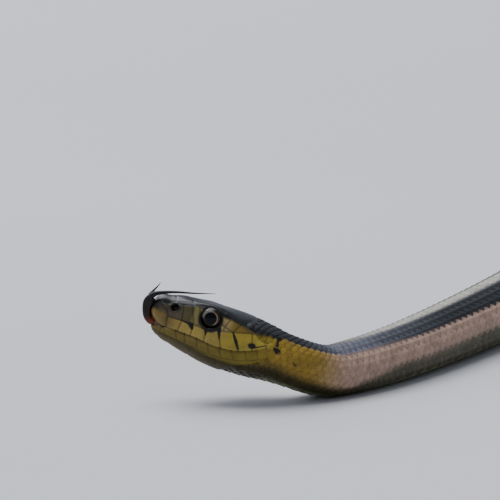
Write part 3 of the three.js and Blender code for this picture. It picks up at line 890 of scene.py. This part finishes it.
def head_skin():
    columns = head_columns()
    rings = np.linspace(0, 1, HEAD_ROWS) ** ROW_POWER * HEAD_END
    g, kind = [np.array(values) for values in zip(*columns)]
    s, ring = every_pair(rings, g)
    kinds = np.tile(kind, len(rings))
    below = kinds == "lower"
    groove = kinds == "groove"
    chin = chin_station(s)
    upper = head_point(SNOUT, s, ring)
    lower = head_point(CHIN, chin, ring)
    smooth = np.where(below[:, None], lower, upper)
    normals = np.where(below[:, None], head_outward(CHIN, chin, ring), head_outward(SNOUT, s, ring))
    station = np.where(below, chin, s)
    seams = np.concatenate([seam_points(SNOUT, upper_sutures()), seam_points(CHIN, lower_sutures())])
    gap = nearest(smooth, seams) / MM
    v, _ = fold(ring)
    points = smooth + normals * head_relief(smooth, station, v, gap, below)[:, None]
    closed = step_up(s / MM, *MOUTH_CORNER)[:, None]
    points[groove] = mouth_groove(s, upper, lower, normals, closed)[groove]
    tints = markings(station, ring) * seam_shade(station, v, gap)[:, None]
    tints[groove] = mix(MOUTH_RED, closed[:, 0], tints)[groove]
    return points, tints, matte(ring), unwrap(station, ring), len(columns)


coat_depth = through([HEAD_END, 80 * MM], [NAPE_DEPTH, SCALE_DEPTH])
DEEPEST_SHARE = 0.3


def body_skin():
    """Rings of skin behind the head, as deep below the scales as these are thick."""
    columns = head_columns()[::BODY_SHARE]
    g = np.array([column[0] for column in columns], float)
    rows = int((TOTAL_LENGTH - HEAD_END) / BODY_ROW)
    stations = HEAD_END + BODY_ROW * np.arange(1, rows + 1)
    s, ring = every_pair(stations, g)
    depth = np.minimum(coat_depth(s), DEEPEST_SHARE * half_width(s))
    points = body_point(s, ring) - outward(body_point, s, ring) * depth[:, None]
    points[:, 2] = np.maximum(points[:, 2], SKIN_FLOOR)
    return points, markings(s, ring), matte(ring), unwrap(s, ring), len(columns)


def ring_faces(rows, columns, first=0):
    """Quads between rings that close on themselves.

    Those of the second half start at another corner, so that marks look alike on both sides.
    """
    faces = []
    for r in range(rows - 1):
        a, b = first + r * columns, first + (r + 1) * columns
        for c in range(columns):
            n = (c + 1) % columns
            quad = (a + c, a + n, b + n, b + c)
            faces.append(quad if 2 * c < columns else quad[1:] + quad[:1])
    return faces


def skin():
    *head, wide = head_skin()
    *body, narrow = body_skin()
    points, tints, dryness, places = [np.concatenate(pair) for pair in zip(head, body)]
    first = len(head[0])
    rows = len(body[0]) // narrow
    faces = ring_faces(first // wide, wide) + ring_faces(rows, narrow, first)
    last_ring = first - wide
    for c in range(narrow):
        fine = [last_ring + (BODY_SHARE * c + k) % wide for k in range(BODY_SHARE + 1)]
        faces.append((*fine, first + (c + 1) % narrow, first + c))
    faces.append(tuple(range(first + (rows - 1) * narrow, first + rows * narrow)))
    piece = make_object("skin", points, faces)
    give_colours(piece, tints)
    give_values(piece, "matte", dryness)
    give_unwrap(piece, places)
    return piece


# Scales and scutes: many small plates joined in one mesh

def plate_faces(rows, columns):
    """The rim of a plate's grid of points, and the faces of its top, edge and underside."""
    grid = np.arange(rows * columns).reshape(rows, columns)
    rim = np.concatenate([grid[0, :], grid[1:, -1], grid[-1, -2::-1], grid[-2:0:-1, 0]]).tolist()
    corners = [grid[:-1, :-1], grid[:-1, 1:], grid[1:, 1:], grid[1:, :-1]]
    faces = np.stack(corners, axis=-1).reshape(-1, 4).tolist()
    below = [rows * columns + k for k in range(len(rim))]
    for k in range(len(rim)):
        n = (k + 1) % len(rim)
        faces.append((rim[n], rim[k], below[k], below[n]))
    faces.append(tuple(below[::-1]))
    return rim, faces


def plates(name, s, g, rise, tints, roots):
    """A mesh of closed plates. Each has a grid of places, lifts and tints for its upper face."""
    count, rows, columns = s.shape
    size = rows * columns
    rim, pattern = plate_faces(rows, columns)
    corners = [*range(size), *rim]
    depth = np.repeat([0, SCALE_EDGE], [size, len(rim)])[:, None]
    normals = outward(body_point, s, g)
    top = body_point(s, g) + normals * rise[..., None]
    top, normals, tints = [each.reshape(count, size, 3)[:, corners] for each in (top, normals, tints)]
    vertices = (top - normals * depth).reshape(-1, 3)
    vertices[:, 2] = np.maximum(vertices[:, 2], FLOOR_GAP)
    faces = [tuple(i * len(corners) + v for v in face) for i in range(count) for face in pattern]
    piece = make_object(name, vertices, faces)
    give_colours(piece, tints.reshape(-1, 3))
    patch = every_pair(np.linspace(-0.5, 0.5, rows), np.linspace(-0.5, 0.5, columns))
    patch = PATCH * np.stack(patch, axis=-1)[corners]
    give_unwrap(piece, (unwrap(*roots).reshape(-1, 1, 2) + patch).reshape(-1, 2))
    give_values(piece, "shade", np.repeat(random.uniform(0, 1, count), len(corners)))
    return piece


scale_pitch = along_body(
    [12, 24, 42, 80, 150, 300, 430, 478, 560, 620],
    [0.85, 0.95, 1.5, 2.3, 2.9, 3.2, 2.9, 2.5, 2.0, 1.1],
    MM,
)
# Rows of scales over the back and sides, as the body thins: from station, to station, rows
ROW_ZONES = [
    (12.4, 29, 23), (29, 300, 19), (300, 478, 17), (478, 520, 13),
    (520, 556, 11), (556, 590, 9), (590, 617, 7),
]
BELLY_ANGLE = 136
SHIELD_LAP = 0.3 * MM


def stations_between(start, end):
    marks = [start]
    while marks[-1] < end:
        marks.append(marks[-1] + float(scale_pitch(marks[-1])))
    return np.array(marks)


def staggered(rows, marks, pitch):
    """Row numbers and stations, with every second row half a pitch further back."""
    s, row = every_pair(marks, np.arange(rows))
    return row, s + (row % 2) * pitch(s) / 2


def covered(s, angle):
    """Whether a scale that starts here lies behind the shields of the head."""
    return scaled_zone(s, np.abs(ring_of(s, angle))) > 0.5


def scale_roots():
    """Station, angle, row spacing and row number of every scale of the back and sides."""
    zones = []
    for start, end, rows in ROW_ZONES:
        spacing = 2 * BELLY_ANGLE / rows
        marks = stations_between(start * MM, end * MM)[:-1]
        row, s = staggered(rows, marks, scale_pitch)
        number = row - (rows - 1) / 2
        angle = number * spacing
        kept = covered(s - SHIELD_LAP, angle)
        zones.append(np.stack([s, angle, np.full_like(s, spacing), np.abs(number)], axis=1)[kept])
    return np.concatenate(zones)


# A scale's outline and lift from root to tip, and the places of its points across
SCALE_ROWS = 7
SCALE_ACROSS = np.array([-1, -0.62, -0.16, 0, 0.16, 0.62, 1])
SCALE_HALF = through([0, 0.15, 0.35, 0.6, 0.8, 0.93, 1], [0.4, 0.78, 1.0, 0.95, 0.7, 0.4, 0.1])
SCALE_LIFT = through([0, 0.3, 0.7, 1], [-0.3, 0.02, 0.3, 0.34])
FULL_PITCH = 2.9 * MM

# Scales lie in rows with small gaps, lap over the next ones behind, and vary a little in place.
SCALE_SPREAD = 0.98
SCALE_LAP = 1.5
ROOT_SHARE = 0.45
JITTER = 0.03
TINT_SPREAD = 0.8

# Heights of a full scale: of all its relief, of the keel, which is full from KEEL_START of the
# length on, and of the arch across, which is flatter on the neck. KEEL_FADE is what the keel fades
# from, over how many rows from the back, and to what.
RELIEF = 0.62 * MM
BASE = 0.16 * MM
KEEL = 0.13
KEEL_HALF = 0.2
KEEL_START = 0.25
KEEL_FADE = (1.3, 10, 0.3)
ARCH = (0.24, 0.14)
NAPE_TO_BODY = (34, 22)

# Scales carry a painted shade along their sides, most at the root where they lap: first the share on
# the neck, then what the body adds. The shade is less towards the tip, by a slope along the scale less a
# start.
PAINTED_SCALE_SHADE = (0.22, 0.13)
TIP_LIGHT = (1.2, 0.5)


def scales(name, roots, keel):
    u = np.linspace(0, 1, SCALE_ROWS)[None, :, None]
    w = SCALE_ACROSS[None, None, :]
    s0, angle, spacing, number = [column[:, None, None] for column in roots.T]
    pitch = scale_pitch(s0)
    jitter = random.normal(0, JITTER, s0.shape) * pitch
    spread = SCALE_SPREAD * spacing * SCALE_HALF(u) * w
    s = s0 + jitter + (u - ROOT_SHARE) * SCALE_LAP * pitch + 0 * spread
    g = ring_of(s, angle + spread)
    full = step_up(s0 / MM, *NAPE_TO_BODY)
    fade = np.clip(KEEL_FADE[0] - number / KEEL_FADE[1], KEEL_FADE[2], 1)
    ridge = keel * bump(w, 0, KEEL_HALF) * fade * np.clip(u / KEEL_START, 0, 1)
    arch = (ARCH[0] * (1 - w**2) - ARCH[1]) * (1 + full) / 2
    rise = (SCALE_LIFT(u) + arch + ridge) * np.sqrt(pitch / FULL_PITCH) * RELIEF - BASE
    seen_s = s0 + TINT_SPREAD * (s - s0)
    tints = markings(seen_s, ring_of(seen_s, angle + TINT_SPREAD * spread))
    # Painted shade along the sides and root of each scale, where the scales lap
    tip = np.clip(TIP_LIGHT[0] * u - TIP_LIGHT[1], 0, 1)
    edge = (PAINTED_SCALE_SHADE[0] + PAINTED_SCALE_SHADE[1] * full) * (1 - tip) * w**2
    tints = tints * (1 - edge[..., None])
    return plates(name, s, g, rise, tints, (s0, ring_of(s0, angle)))


FIRST_SCUTE = 24.5 * MM
FIRST_GULAR = 11.6 * MM
GULAR_ROW = 11.5
GULAR_PITCH = 1.5 * MM


def gular_roots():
    """Small smooth scales under the throat, from the chin shields to the first scutes."""
    angles = np.arange(BELLY_ANGLE + GULAR_ROW / 2, 180, GULAR_ROW)
    marks = np.arange(FIRST_GULAR, FIRST_SCUTE + GULAR_PITCH, GULAR_PITCH)
    row, s = staggered(len(angles), marks, lambda s: GULAR_PITCH)
    angle = angles[row]
    kept = covered(s, angle)
    left = np.stack([s, angle, np.full_like(s, GULAR_ROW), np.zeros_like(s)], axis=1)[kept]
    right = left * np.array([1, -1, 1, 1])
    return np.concatenate([left, right])


# Scutes lap backwards, curve forwards at their sides, and carry a painted shade at the front, where
# the scute before laps over them. Their lift in millimetres grows along them from a depth, and drops
# by a power of the distance to their sides.
SCUTE_COLUMNS = 17
SCUTE_ALONG = np.array([0, 0.12, 0.5, 0.9, 1])
SCUTE_LAP = 0.35
SCUTE_CURVE = 0.3
SCUTE_LIFT = (0.34, 0.36)
SCUTE_SIDE = (0.1, 6)
SCUTE_PAINTED_SHADE = 0.25


def scutes(name, marks, edges):
    """Broad plates, each between two angles round the belly."""
    u = SCUTE_ALONG[None, :, None]
    w = np.linspace(0, 1, SCUTE_COLUMNS)[None, None, :]
    s0 = np.repeat(marks, len(edges))[:, None, None]
    low, high = [np.tile(angles, len(marks))[:, None, None] for angles in zip(*edges)]
    pitch = scale_pitch(s0)
    curve = SCUTE_CURVE * (np.sin(np.pi * w) - 1)
    s = s0 + pitch * ((1 + SCUTE_LAP) * u - SCUTE_LAP + curve)
    g = ring_of(s, low + (high - low) * w)
    lift = SCUTE_LIFT[0] * u - SCUTE_LIFT[1] - SCUTE_SIDE[0] * np.abs(2 * w - 1) ** SCUTE_SIDE[1]
    rise = lift * MM * np.sqrt(pitch / FULL_PITCH)
    # Painted shade at the front of each scute, under the one before
    tints = markings(s0, g) * (1 - SCUTE_PAINTED_SHADE * (1 - u))[..., None]
    return plates(name, s, g, rise, tints, (s0, ring_of(s0, (low + high) / 2)))


# Eyes: distances in millimetres from the middle of the pupil, directions in degrees from the rear

EYE_ROWS = 80
EYE_COLUMNS = 96
PUPIL = (0.95, 0.08)
PUPIL_PLACE = (-0.04, -0.1)
GOLD_RING = (1.06, 0.065)
GOLD_RING_SIDE = (-5, 80)
GOLD_RING_LEAST = 0.12
IRIS = (1.62, 0.16)
BROWN_SIDE = (-10, 80)
LIGHT_SIDE = (120, 70)
LID_SHADOW = (1.3, 0.2)
PUPIL_BLACK = colour("020306")
GOLD = colour("a3987a")
IRIS_LIGHT = colour("6c6762")
IRIS_BROWN = colour("36281e")
IRIS_DARK = colour("100d0c")
EYE_RIM = colour("0b0908")


def towards(angle, direction, width):
    """1 where an angle points in a direction, falling to 0 beyond the width, in degrees."""
    off = np.abs((angle / DEG - direction + 180) % 360 - 180)
    return 1 - step_up(off, width * 0.75, width * 0.5)


def eye_colours(rear, up):
    """Pupil, thin ring and iris. Both places are in millimetres from the middle of the eye.

    The iris is pale above, brown behind and dark in front and below, and the ring is bright
    only at the rear edge of the pupil.
    """
    ray = np.hypot(rear - PUPIL_PLACE[0], up - PUPIL_PLACE[1])
    angle = np.arctan2(up - PUPIL_PLACE[1], rear - PUPIL_PLACE[0])
    tint = mix(np.tile(IRIS_DARK, (len(ray), 1)), towards(angle, *BROWN_SIDE), IRIS_BROWN)
    tint = mix(tint, towards(angle, *LIGHT_SIDE), IRIS_LIGHT)
    bright = GOLD_RING_LEAST + (1 - GOLD_RING_LEAST) * towards(angle, *GOLD_RING_SIDE)
    tint = mix(tint, bump(ray, *GOLD_RING) * bright, GOLD)
    tint = mix(tint, 1 - step_up(ray, *PUPIL), PUPIL_BLACK)
    tint = mix(tint, step_up(up, *LID_SHADOW), EYE_RIM)
    return mix(tint, step_up(np.hypot(rear, up), *IRIS), EYE_RIM)


def eye(side):
    """An eyeball with a glossy surface; its gaze runs along the normal of the head's side."""
    look = gaze(side)
    up = unit(np.array([0, 0, 1.0]) - look * look[2])
    across = np.cross(up, look)
    polar = np.pi * np.arange(1, EYE_ROWS) / EYE_ROWS
    turn = 2 * np.pi * np.arange(EYE_COLUMNS) / EYE_COLUMNS
    polar, turn = every_pair(polar, turn)
    flat = EYE_RADIUS * np.sin(polar)
    x = np.concatenate([[0], flat * np.cos(turn), [0]])
    y = np.concatenate([[0], flat * np.sin(turn), [0]])
    z = EYE["depth"] * np.concatenate([[1], np.cos(polar), [-1]])
    vertices = eye_centre(side) + x[:, None] * across + y[:, None] * up + z[:, None] * look
    last = len(vertices) - 1
    end = last - EYE_COLUMNS
    around = [(c, (c + 1) % EYE_COLUMNS) for c in range(EYE_COLUMNS)]
    faces = [(0, 1 + c, 1 + n) for c, n in around]
    faces += [face[::-1] for face in ring_faces(EYE_ROWS - 1, EYE_COLUMNS, 1)]
    faces += [(last, end + n, end + c) for c, n in around]
    piece = make_object("eye_left_detail" if side > 0 else "eye_right_detail", vertices, faces)
    tints = eye_colours(x * side / MM, y / MM)
    tints[z < 0] = EYE_RIM
    give_colours(piece, tints)
    return piece


# Tongue: places beside the middle line in millimetres, as station, left and up, and half sizes

TONGUE_SHAFT = [
    (1.9, 0, -1.5), (1.1, 0, -1.5), (0.35, 0, -1.46), (-0.25, 0.05, -0.95),
    (-0.62, 0.12, -0.05), (-0.78, 0.25, 0.8), (-0.76, 0.4, 1.45), (-0.7, 0.5, 2),
]
LONG_TINE = [
    (-0.8, 0.5, 1.6), (-0.72, 0.75, 2.15), (-0.3, 1.05, 2.72), (0.8, 1.4, 3.32),
    (2.6, 1.75, 3.98), (5.2, 2, 4.68), (8.3, 2.1, 5.62),
]
SHORT_TINE = [
    (-0.9, 0.45, 1.5), (-0.95, 0.25, 2.3), (-0.66, 0.1, 2.95), (-0.25, -0.05, 3.72), (0.05, -0.15, 4.5),
]
SHAFT_HEIGHT = through([0, 0.3, 0.6, 0.85, 1], [0.5, 0.58, 0.74, 0.84, 0.66])
SHAFT_WIDTH = through([0, 1], [0.46, 0.46])
TINE_SIZE = through([0, 0.1, 0.2, 0.35, 0.6, 0.85, 1], [0.5, 0.42, 0.3, 0.22, 0.15, 0.08, 0.03])
TONGUE_SIDES = 16
POINTS_BETWEEN = 40

# The line, height, width and rings of each part, and how far out it starts
TONGUE_PARTS = [
    (TONGUE_SHAFT, SHAFT_HEIGHT, SHAFT_WIDTH, 60, 0),
    (LONG_TINE, TINE_SIZE, TINE_SIZE, 90, 0.5),
    (SHORT_TINE, TINE_SIZE, TINE_SIZE, 50, 0.5),
]


def smooth_line(points, count):
    """A curve through points beside the middle line, evenly spaced."""
    points = np.array(points) * MM
    places = place(*points.T)
    run = totals(np.linalg.norm(np.diff(places, axis=0), axis=1) ** 0.5)
    fine = np.linspace(0, run[-1], POINTS_BETWEEN * len(points))
    curve = np.stack([cubic(run, axis, np.gradient(axis, run), fine) for axis in places.T], axis=1)
    length = totals(np.linalg.norm(np.diff(curve, axis=0), axis=1))
    even = np.linspace(0, length[-1], count)
    return np.stack([np.interp(even, length, axis) for axis in curve.T], axis=1)


def ribbon(points, height, width, count):
    """Rings of points round a curve, flat or round, as vertices and faces of a closed tube."""
    line = smooth_line(points, count)
    along = unit(np.gradient(line, axis=0))
    side = np.array([0, 1.0, 0])
    up = unit(np.cross(side, along))
    share = np.linspace(0, 1, count)
    turn = np.linspace(0, 2 * np.pi, TONGUE_SIDES + 1)[1:]
    rings = (
        line[:, None]
        + up[:, None] * (height(share)[:, None] * np.cos(turn))[..., None] * MM
        + side * (width(share)[:, None] * np.sin(turn))[..., None] * MM
    )
    faces = ring_faces(count, TONGUE_SIDES)
    faces.append(tuple(range(TONGUE_SIDES))[::-1])
    faces.append(tuple((count - 1) * TONGUE_SIDES + c for c in range(TONGUE_SIDES)))
    return rings.reshape(-1, 3), faces, np.repeat(share, TONGUE_SIDES)


def tongue():
    """The shaft and its two tines. Outness runs from 0 at the root to 1 at the tips."""
    vertices, faces, outness = [], [], []
    first = 0
    for line, height, width, rings, start in TONGUE_PARTS:
        points, quads, share = ribbon(line, height, width, rings)
        vertices.append(points)
        faces += [tuple(first + v for v in face) for face in quads]
        outness.append(start + share / 2)
        first += len(points)
    piece = make_object("tongue_detail", np.concatenate(vertices), faces)
    give_values(piece, "outness", np.concatenate(outness))
    return piece


# Materials. Noises have cells to the metre and a detail.
MOTTLE = (900, 5)
CLOUD = (260, 2)
GRAIN = (5200, 3)
IRIS_THREADS = (4200, 3)
TONGUE_MOTTLE = (2600, 3)
FLOOR_CLOUD = (3, 3)

# Greys over a noise or value: a place and its grey, then another place and its grey
MOTTLE_GREYS = (0.3, 0.72, 0.7, 1)
CLOUD_GREYS = (0.3, 0.85, 0.7, 1)
SHADE_GREYS = (0, 0.78, 1, 1)
IRIS_GREYS = (0.35, 0.72, 0.65, 1)
TONGUE_GREYS = (0.3, 0.7, 0.7, 1)
FLOOR_GREYS = (0.3, 0.5, 0.7, 0.54)

# Surfaces: roughness, weight of the wet coat and specular level
SKIN_SURFACE = (0.31, 0.09, 0.35)
SCALE_SURFACE = (0.48, 0.05, 0.22)
EYE_SURFACE = (0.12, 0, 0.15)
TONGUE_SURFACE = (0.4, 0.15, 0.2)
FLOOR_SURFACE = (0.75, 0, 0.35)
COAT_ROUGHNESS = 0.2
ROUGHNESS_RANGE = (0.7, 1.3)

# Bumps: strength and depth
SKIN_GRAIN = (0.3, 0.05 * MM)
SCALE_GRAIN = (0.5, 0.05 * MM)
TONGUE_BUMP = (0.3, 0.04 * MM)


def fill(tree, socket, value):
    """Gives a socket a value of its own, or another socket's."""
    if isinstance(value, bpy.types.NodeSocket):
        tree.links.new(value, socket)
    else:
        socket.default_value = value


def added(tree, kind, output, sockets, **settings):
    """The output of a new node with its settings and sockets filled."""
    node = tree.nodes.new("ShaderNode" + kind)
    for name, value in settings.items():
        setattr(node, name, value)
    for name, value in sockets.items():
        fill(tree, node.inputs[name], value)
    return node.outputs[output]


def attribute(tree, name, output="Fac"):
    return added(tree, "Attribute", output, {}, attribute_name=name)


def noise(tree, scale, detail):
    """Noise over the object's own coordinates."""
    coordinates = added(tree, "TexCoord", "Object", {})
    sockets = {"Vector": coordinates, "Scale": scale, "Detail": detail}
    return added(tree, "TexNoise", "Fac", sockets)


def ramp(tree, value, stops):
    node = tree.nodes.new("ShaderNodeValToRGB")
    elements = node.color_ramp.elements
    while len(elements) < len(stops):
        elements.new(0.5)
    for element, (position, tint) in zip(elements, stops):
        element.position = position
        element.color = (*tint, 1)
    tree.links.new(value, node.inputs["Fac"])
    return node.outputs["Color"]


def greys(tree, value, start, low, end, high):
    return ramp(tree, value, [(start, (low, low, low)), (end, (high, high, high))])


def product(tree, a, b):
    """The product of two colours."""
    sockets = {"Factor": 1, "A": a, "B": b}
    return added(tree, "Mix", "Result", sockets, data_type="RGBA", blend_type="MULTIPLY")


def bumped(tree, height, strength, depth):
    sockets = {"Height": height, "Strength": strength, "Distance": depth}
    return added(tree, "Bump", "Normal", sockets)


def new_material(name):
    material = bpy.data.materials.new(name)
    material.use_nodes = True
    return material, material.node_tree


def surface(tree, tint, roughness, coat, specular):
    """Fills the sockets of the surface's shader, and returns them."""
    sockets = tree.nodes["Principled BSDF"].inputs
    fill(tree, sockets["Base Color"], tint)
    fill(tree, sockets["Roughness"], roughness)
    sockets["Coat Weight"].default_value = coat
    sockets["Coat Roughness"].default_value = COAT_ROUGHNESS
    sockets["Specular IOR Level"].default_value = specular
    return sockets


def flesh_material(name, finish, grain, shaded=False):
    """Tints from the mesh, mottled by noise, with a fine grain in the surface.

    The mesh's matte values are the least roughness; a mesh without them has none. A shaded
    mesh has shade values too, by which each scale is a little lighter or darker than the next.
    """
    material, tree = new_material(name)
    cloud = noise(tree, *CLOUD)
    tint = attribute(tree, "tint", "Color")
    tint = product(tree, tint, greys(tree, noise(tree, *MOTTLE), *MOTTLE_GREYS))
    tint = product(tree, tint, greys(tree, cloud, *CLOUD_GREYS))
    if shaded:
        tint = product(tree, tint, greys(tree, attribute(tree, "shade"), *SHADE_GREYS))
    roughness, coat, specular = finish
    low, high = [roughness * share for share in ROUGHNESS_RANGE]
    varied = added(tree, "MapRange", "Result", {"Value": cloud, "To Min": low, "To Max": high})
    rough = added(tree, "Math", "Value", {0: varied, 1: attribute(tree, "matte")}, operation="MAXIMUM")
    sockets = surface(tree, tint, rough, coat, specular)
    fill(tree, sockets["Normal"], bumped(tree, noise(tree, *GRAIN), *grain))
    return material


def eye_material():
    """The eye's own tints under a smooth gloss, with fine threads in the iris."""
    material, tree = new_material("eye_finish")
    threads = greys(tree, noise(tree, *IRIS_THREADS), *IRIS_GREYS)
    surface(tree, product(tree, attribute(tree, "tint", "Color"), threads), *EYE_SURFACE)
    return material


# Colours of the tongue from root to tips
TONGUE_TINTS = [
    (0.0, colour("6e2c1a")), (0.13, colour("78301c")), (0.22, colour("2a120c")),
    (0.3, colour("140c08")), (1.0, colour("17141a")),
]


def tongue_material():
    """Red at the root, black from the bend to the tips, moist."""
    material, tree = new_material("tongue_finish")
    mottle = noise(tree, *TONGUE_MOTTLE)
    tint = ramp(tree, attribute(tree, "outness"), TONGUE_TINTS)
    tint = product(tree, tint, greys(tree, mottle, *TONGUE_GREYS))
    sockets = surface(tree, tint, *TONGUE_SURFACE)
    fill(tree, sockets["Normal"], bumped(tree, mottle, *TONGUE_BUMP))
    return material


def floor_material():
    material, tree = new_material("floor_finish")
    surface(tree, greys(tree, noise(tree, *FLOOR_CLOUD), *FLOOR_GREYS), *FLOOR_SURFACE)
    return material


# Build

def attach(piece, material, slot, *nodes):
    piece.data.materials.append(material)
    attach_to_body(piece, "root")
    if nodes:
        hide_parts(*nodes)


FLESH = [
    "head", "lower_jaw", "neck",
    *[f"torso_{i}" for i in range(1, 10)],
    *[f"tail_{i}" for i in range(1, 4)],
]
SCALES_PER_PIECE = 1200
LAST_SCUTE = 612 * MM

# Scutes reach under the lowest scales, and those of the tail lap over the middle of the belly.
SCUTES_LEFT = BELLY_ANGLE - 4
SCUTES_RIGHT = 360 - SCUTES_LEFT
TAIL_LAP = 2
BELLY_SPAN = [(SCUTES_LEFT, SCUTES_RIGHT)]
TAIL_SPANS = [(SCUTES_LEFT, 180 + TAIL_LAP), (180 - TAIL_LAP, SCUTES_RIGHT)]

skin_finish = flesh_material("skin_finish", SKIN_SURFACE, SKIN_GRAIN)
scale_finish = flesh_material("scale_finish", SCALE_SURFACE, SCALE_GRAIN, shaded=True)
attach(skin(), skin_finish, "crown_skin", *FLESH)
roots = scale_roots()
for number, start in enumerate(range(0, len(roots), SCALES_PER_PIECE), 1):
    piece = scales(f"scales_{number}", roots[start : start + SCALES_PER_PIECE], KEEL)
    attach(piece, scale_finish, "body_skin")
attach(scales("throat_scales", gular_roots(), 0), scale_finish, "chin_skin")
belly = scutes("belly_scutes", stations_between(FIRST_SCUTE, VENT), BELLY_SPAN)
attach(belly, scale_finish, "body_skin")
below_tail = scutes("tail_scutes", stations_between(VENT, LAST_SCUTE), TAIL_SPANS)
attach(below_tail, scale_finish, "body_skin")
eye_finish = eye_material()
attach(eye(1), eye_finish, "eye", "eye_left")
attach(eye(-1), eye_finish, "eye", "eye_right")
attach(tongue(), tongue_material(), "tongue", "tongue")


# Floor, light and camera

FLOOR_SIZE = 12.0
CAMERA_ELEVATION = 10 * DEG
CAMERA_DISTANCE = 1.5
CAMERA_LENS = 713
CAMERA_CLIP = (0.1, 50)
TARGET_AHEAD = 15 * MM
TARGET_HEIGHT = 23.5 * MM

# Lamps: place, size, power and tint
KEY_LIGHT = ((-0.9, 0.7, 3.0), 2.8, 125, (0.96, 0.97, 1.0))
SKY_LIGHT = ((-1.7, 1.6, 1.9), 2.8, 74, (0.84, 0.85, 1.0))
STUDIO_TINT = (0.8, 0.86, 1.0, 1)
STUDIO_STRENGTH = 0.45


def floor():
    half = FLOOR_SIZE / 2
    corners = np.array([(-half, -half, 0), (half, -half, 0), (half, half, 0), (-half, half, 0)])
    piece = make_object("floor", corners, [(0, 1, 2, 3)])
    piece.data.materials.append(floor_material())


def aim(thing, position, direction):
    thing.location = position
    thing.rotation_euler = direction.to_track_quat("-Z", "Y").to_euler()


def area_light(name, position, size, power, tint):
    light = bpy.data.lights.new(name, "AREA")
    light.size = size
    light.energy = power
    light.color = tint
    aim(put(name, light), Vector(position), -Vector(position))


def world():
    sky = bpy.data.worlds.new("studio")
    sky.use_nodes = True
    background = sky.node_tree.nodes["Background"]
    background.inputs["Color"].default_value = STUDIO_TINT
    background.inputs["Strength"].default_value = STUDIO_STRENGTH
    bpy.context.scene.world = sky


def camera():
    data = bpy.data.cameras.new("camera")
    data.lens = CAMERA_LENS
    data.clip_start, data.clip_end = CAMERA_CLIP
    target = Vector((START[0] + TARGET_AHEAD, START[1], TARGET_HEIGHT))
    back = Vector((0, -math.cos(CAMERA_ELEVATION), math.sin(CAMERA_ELEVATION)))
    view = put("camera", data)
    aim(view, target + back * CAMERA_DISTANCE, -back)
    bpy.context.scene.camera = view


floor()
world()
area_light("key", *KEY_LIGHT)
area_light("sky", *SKY_LIGHT)
camera()
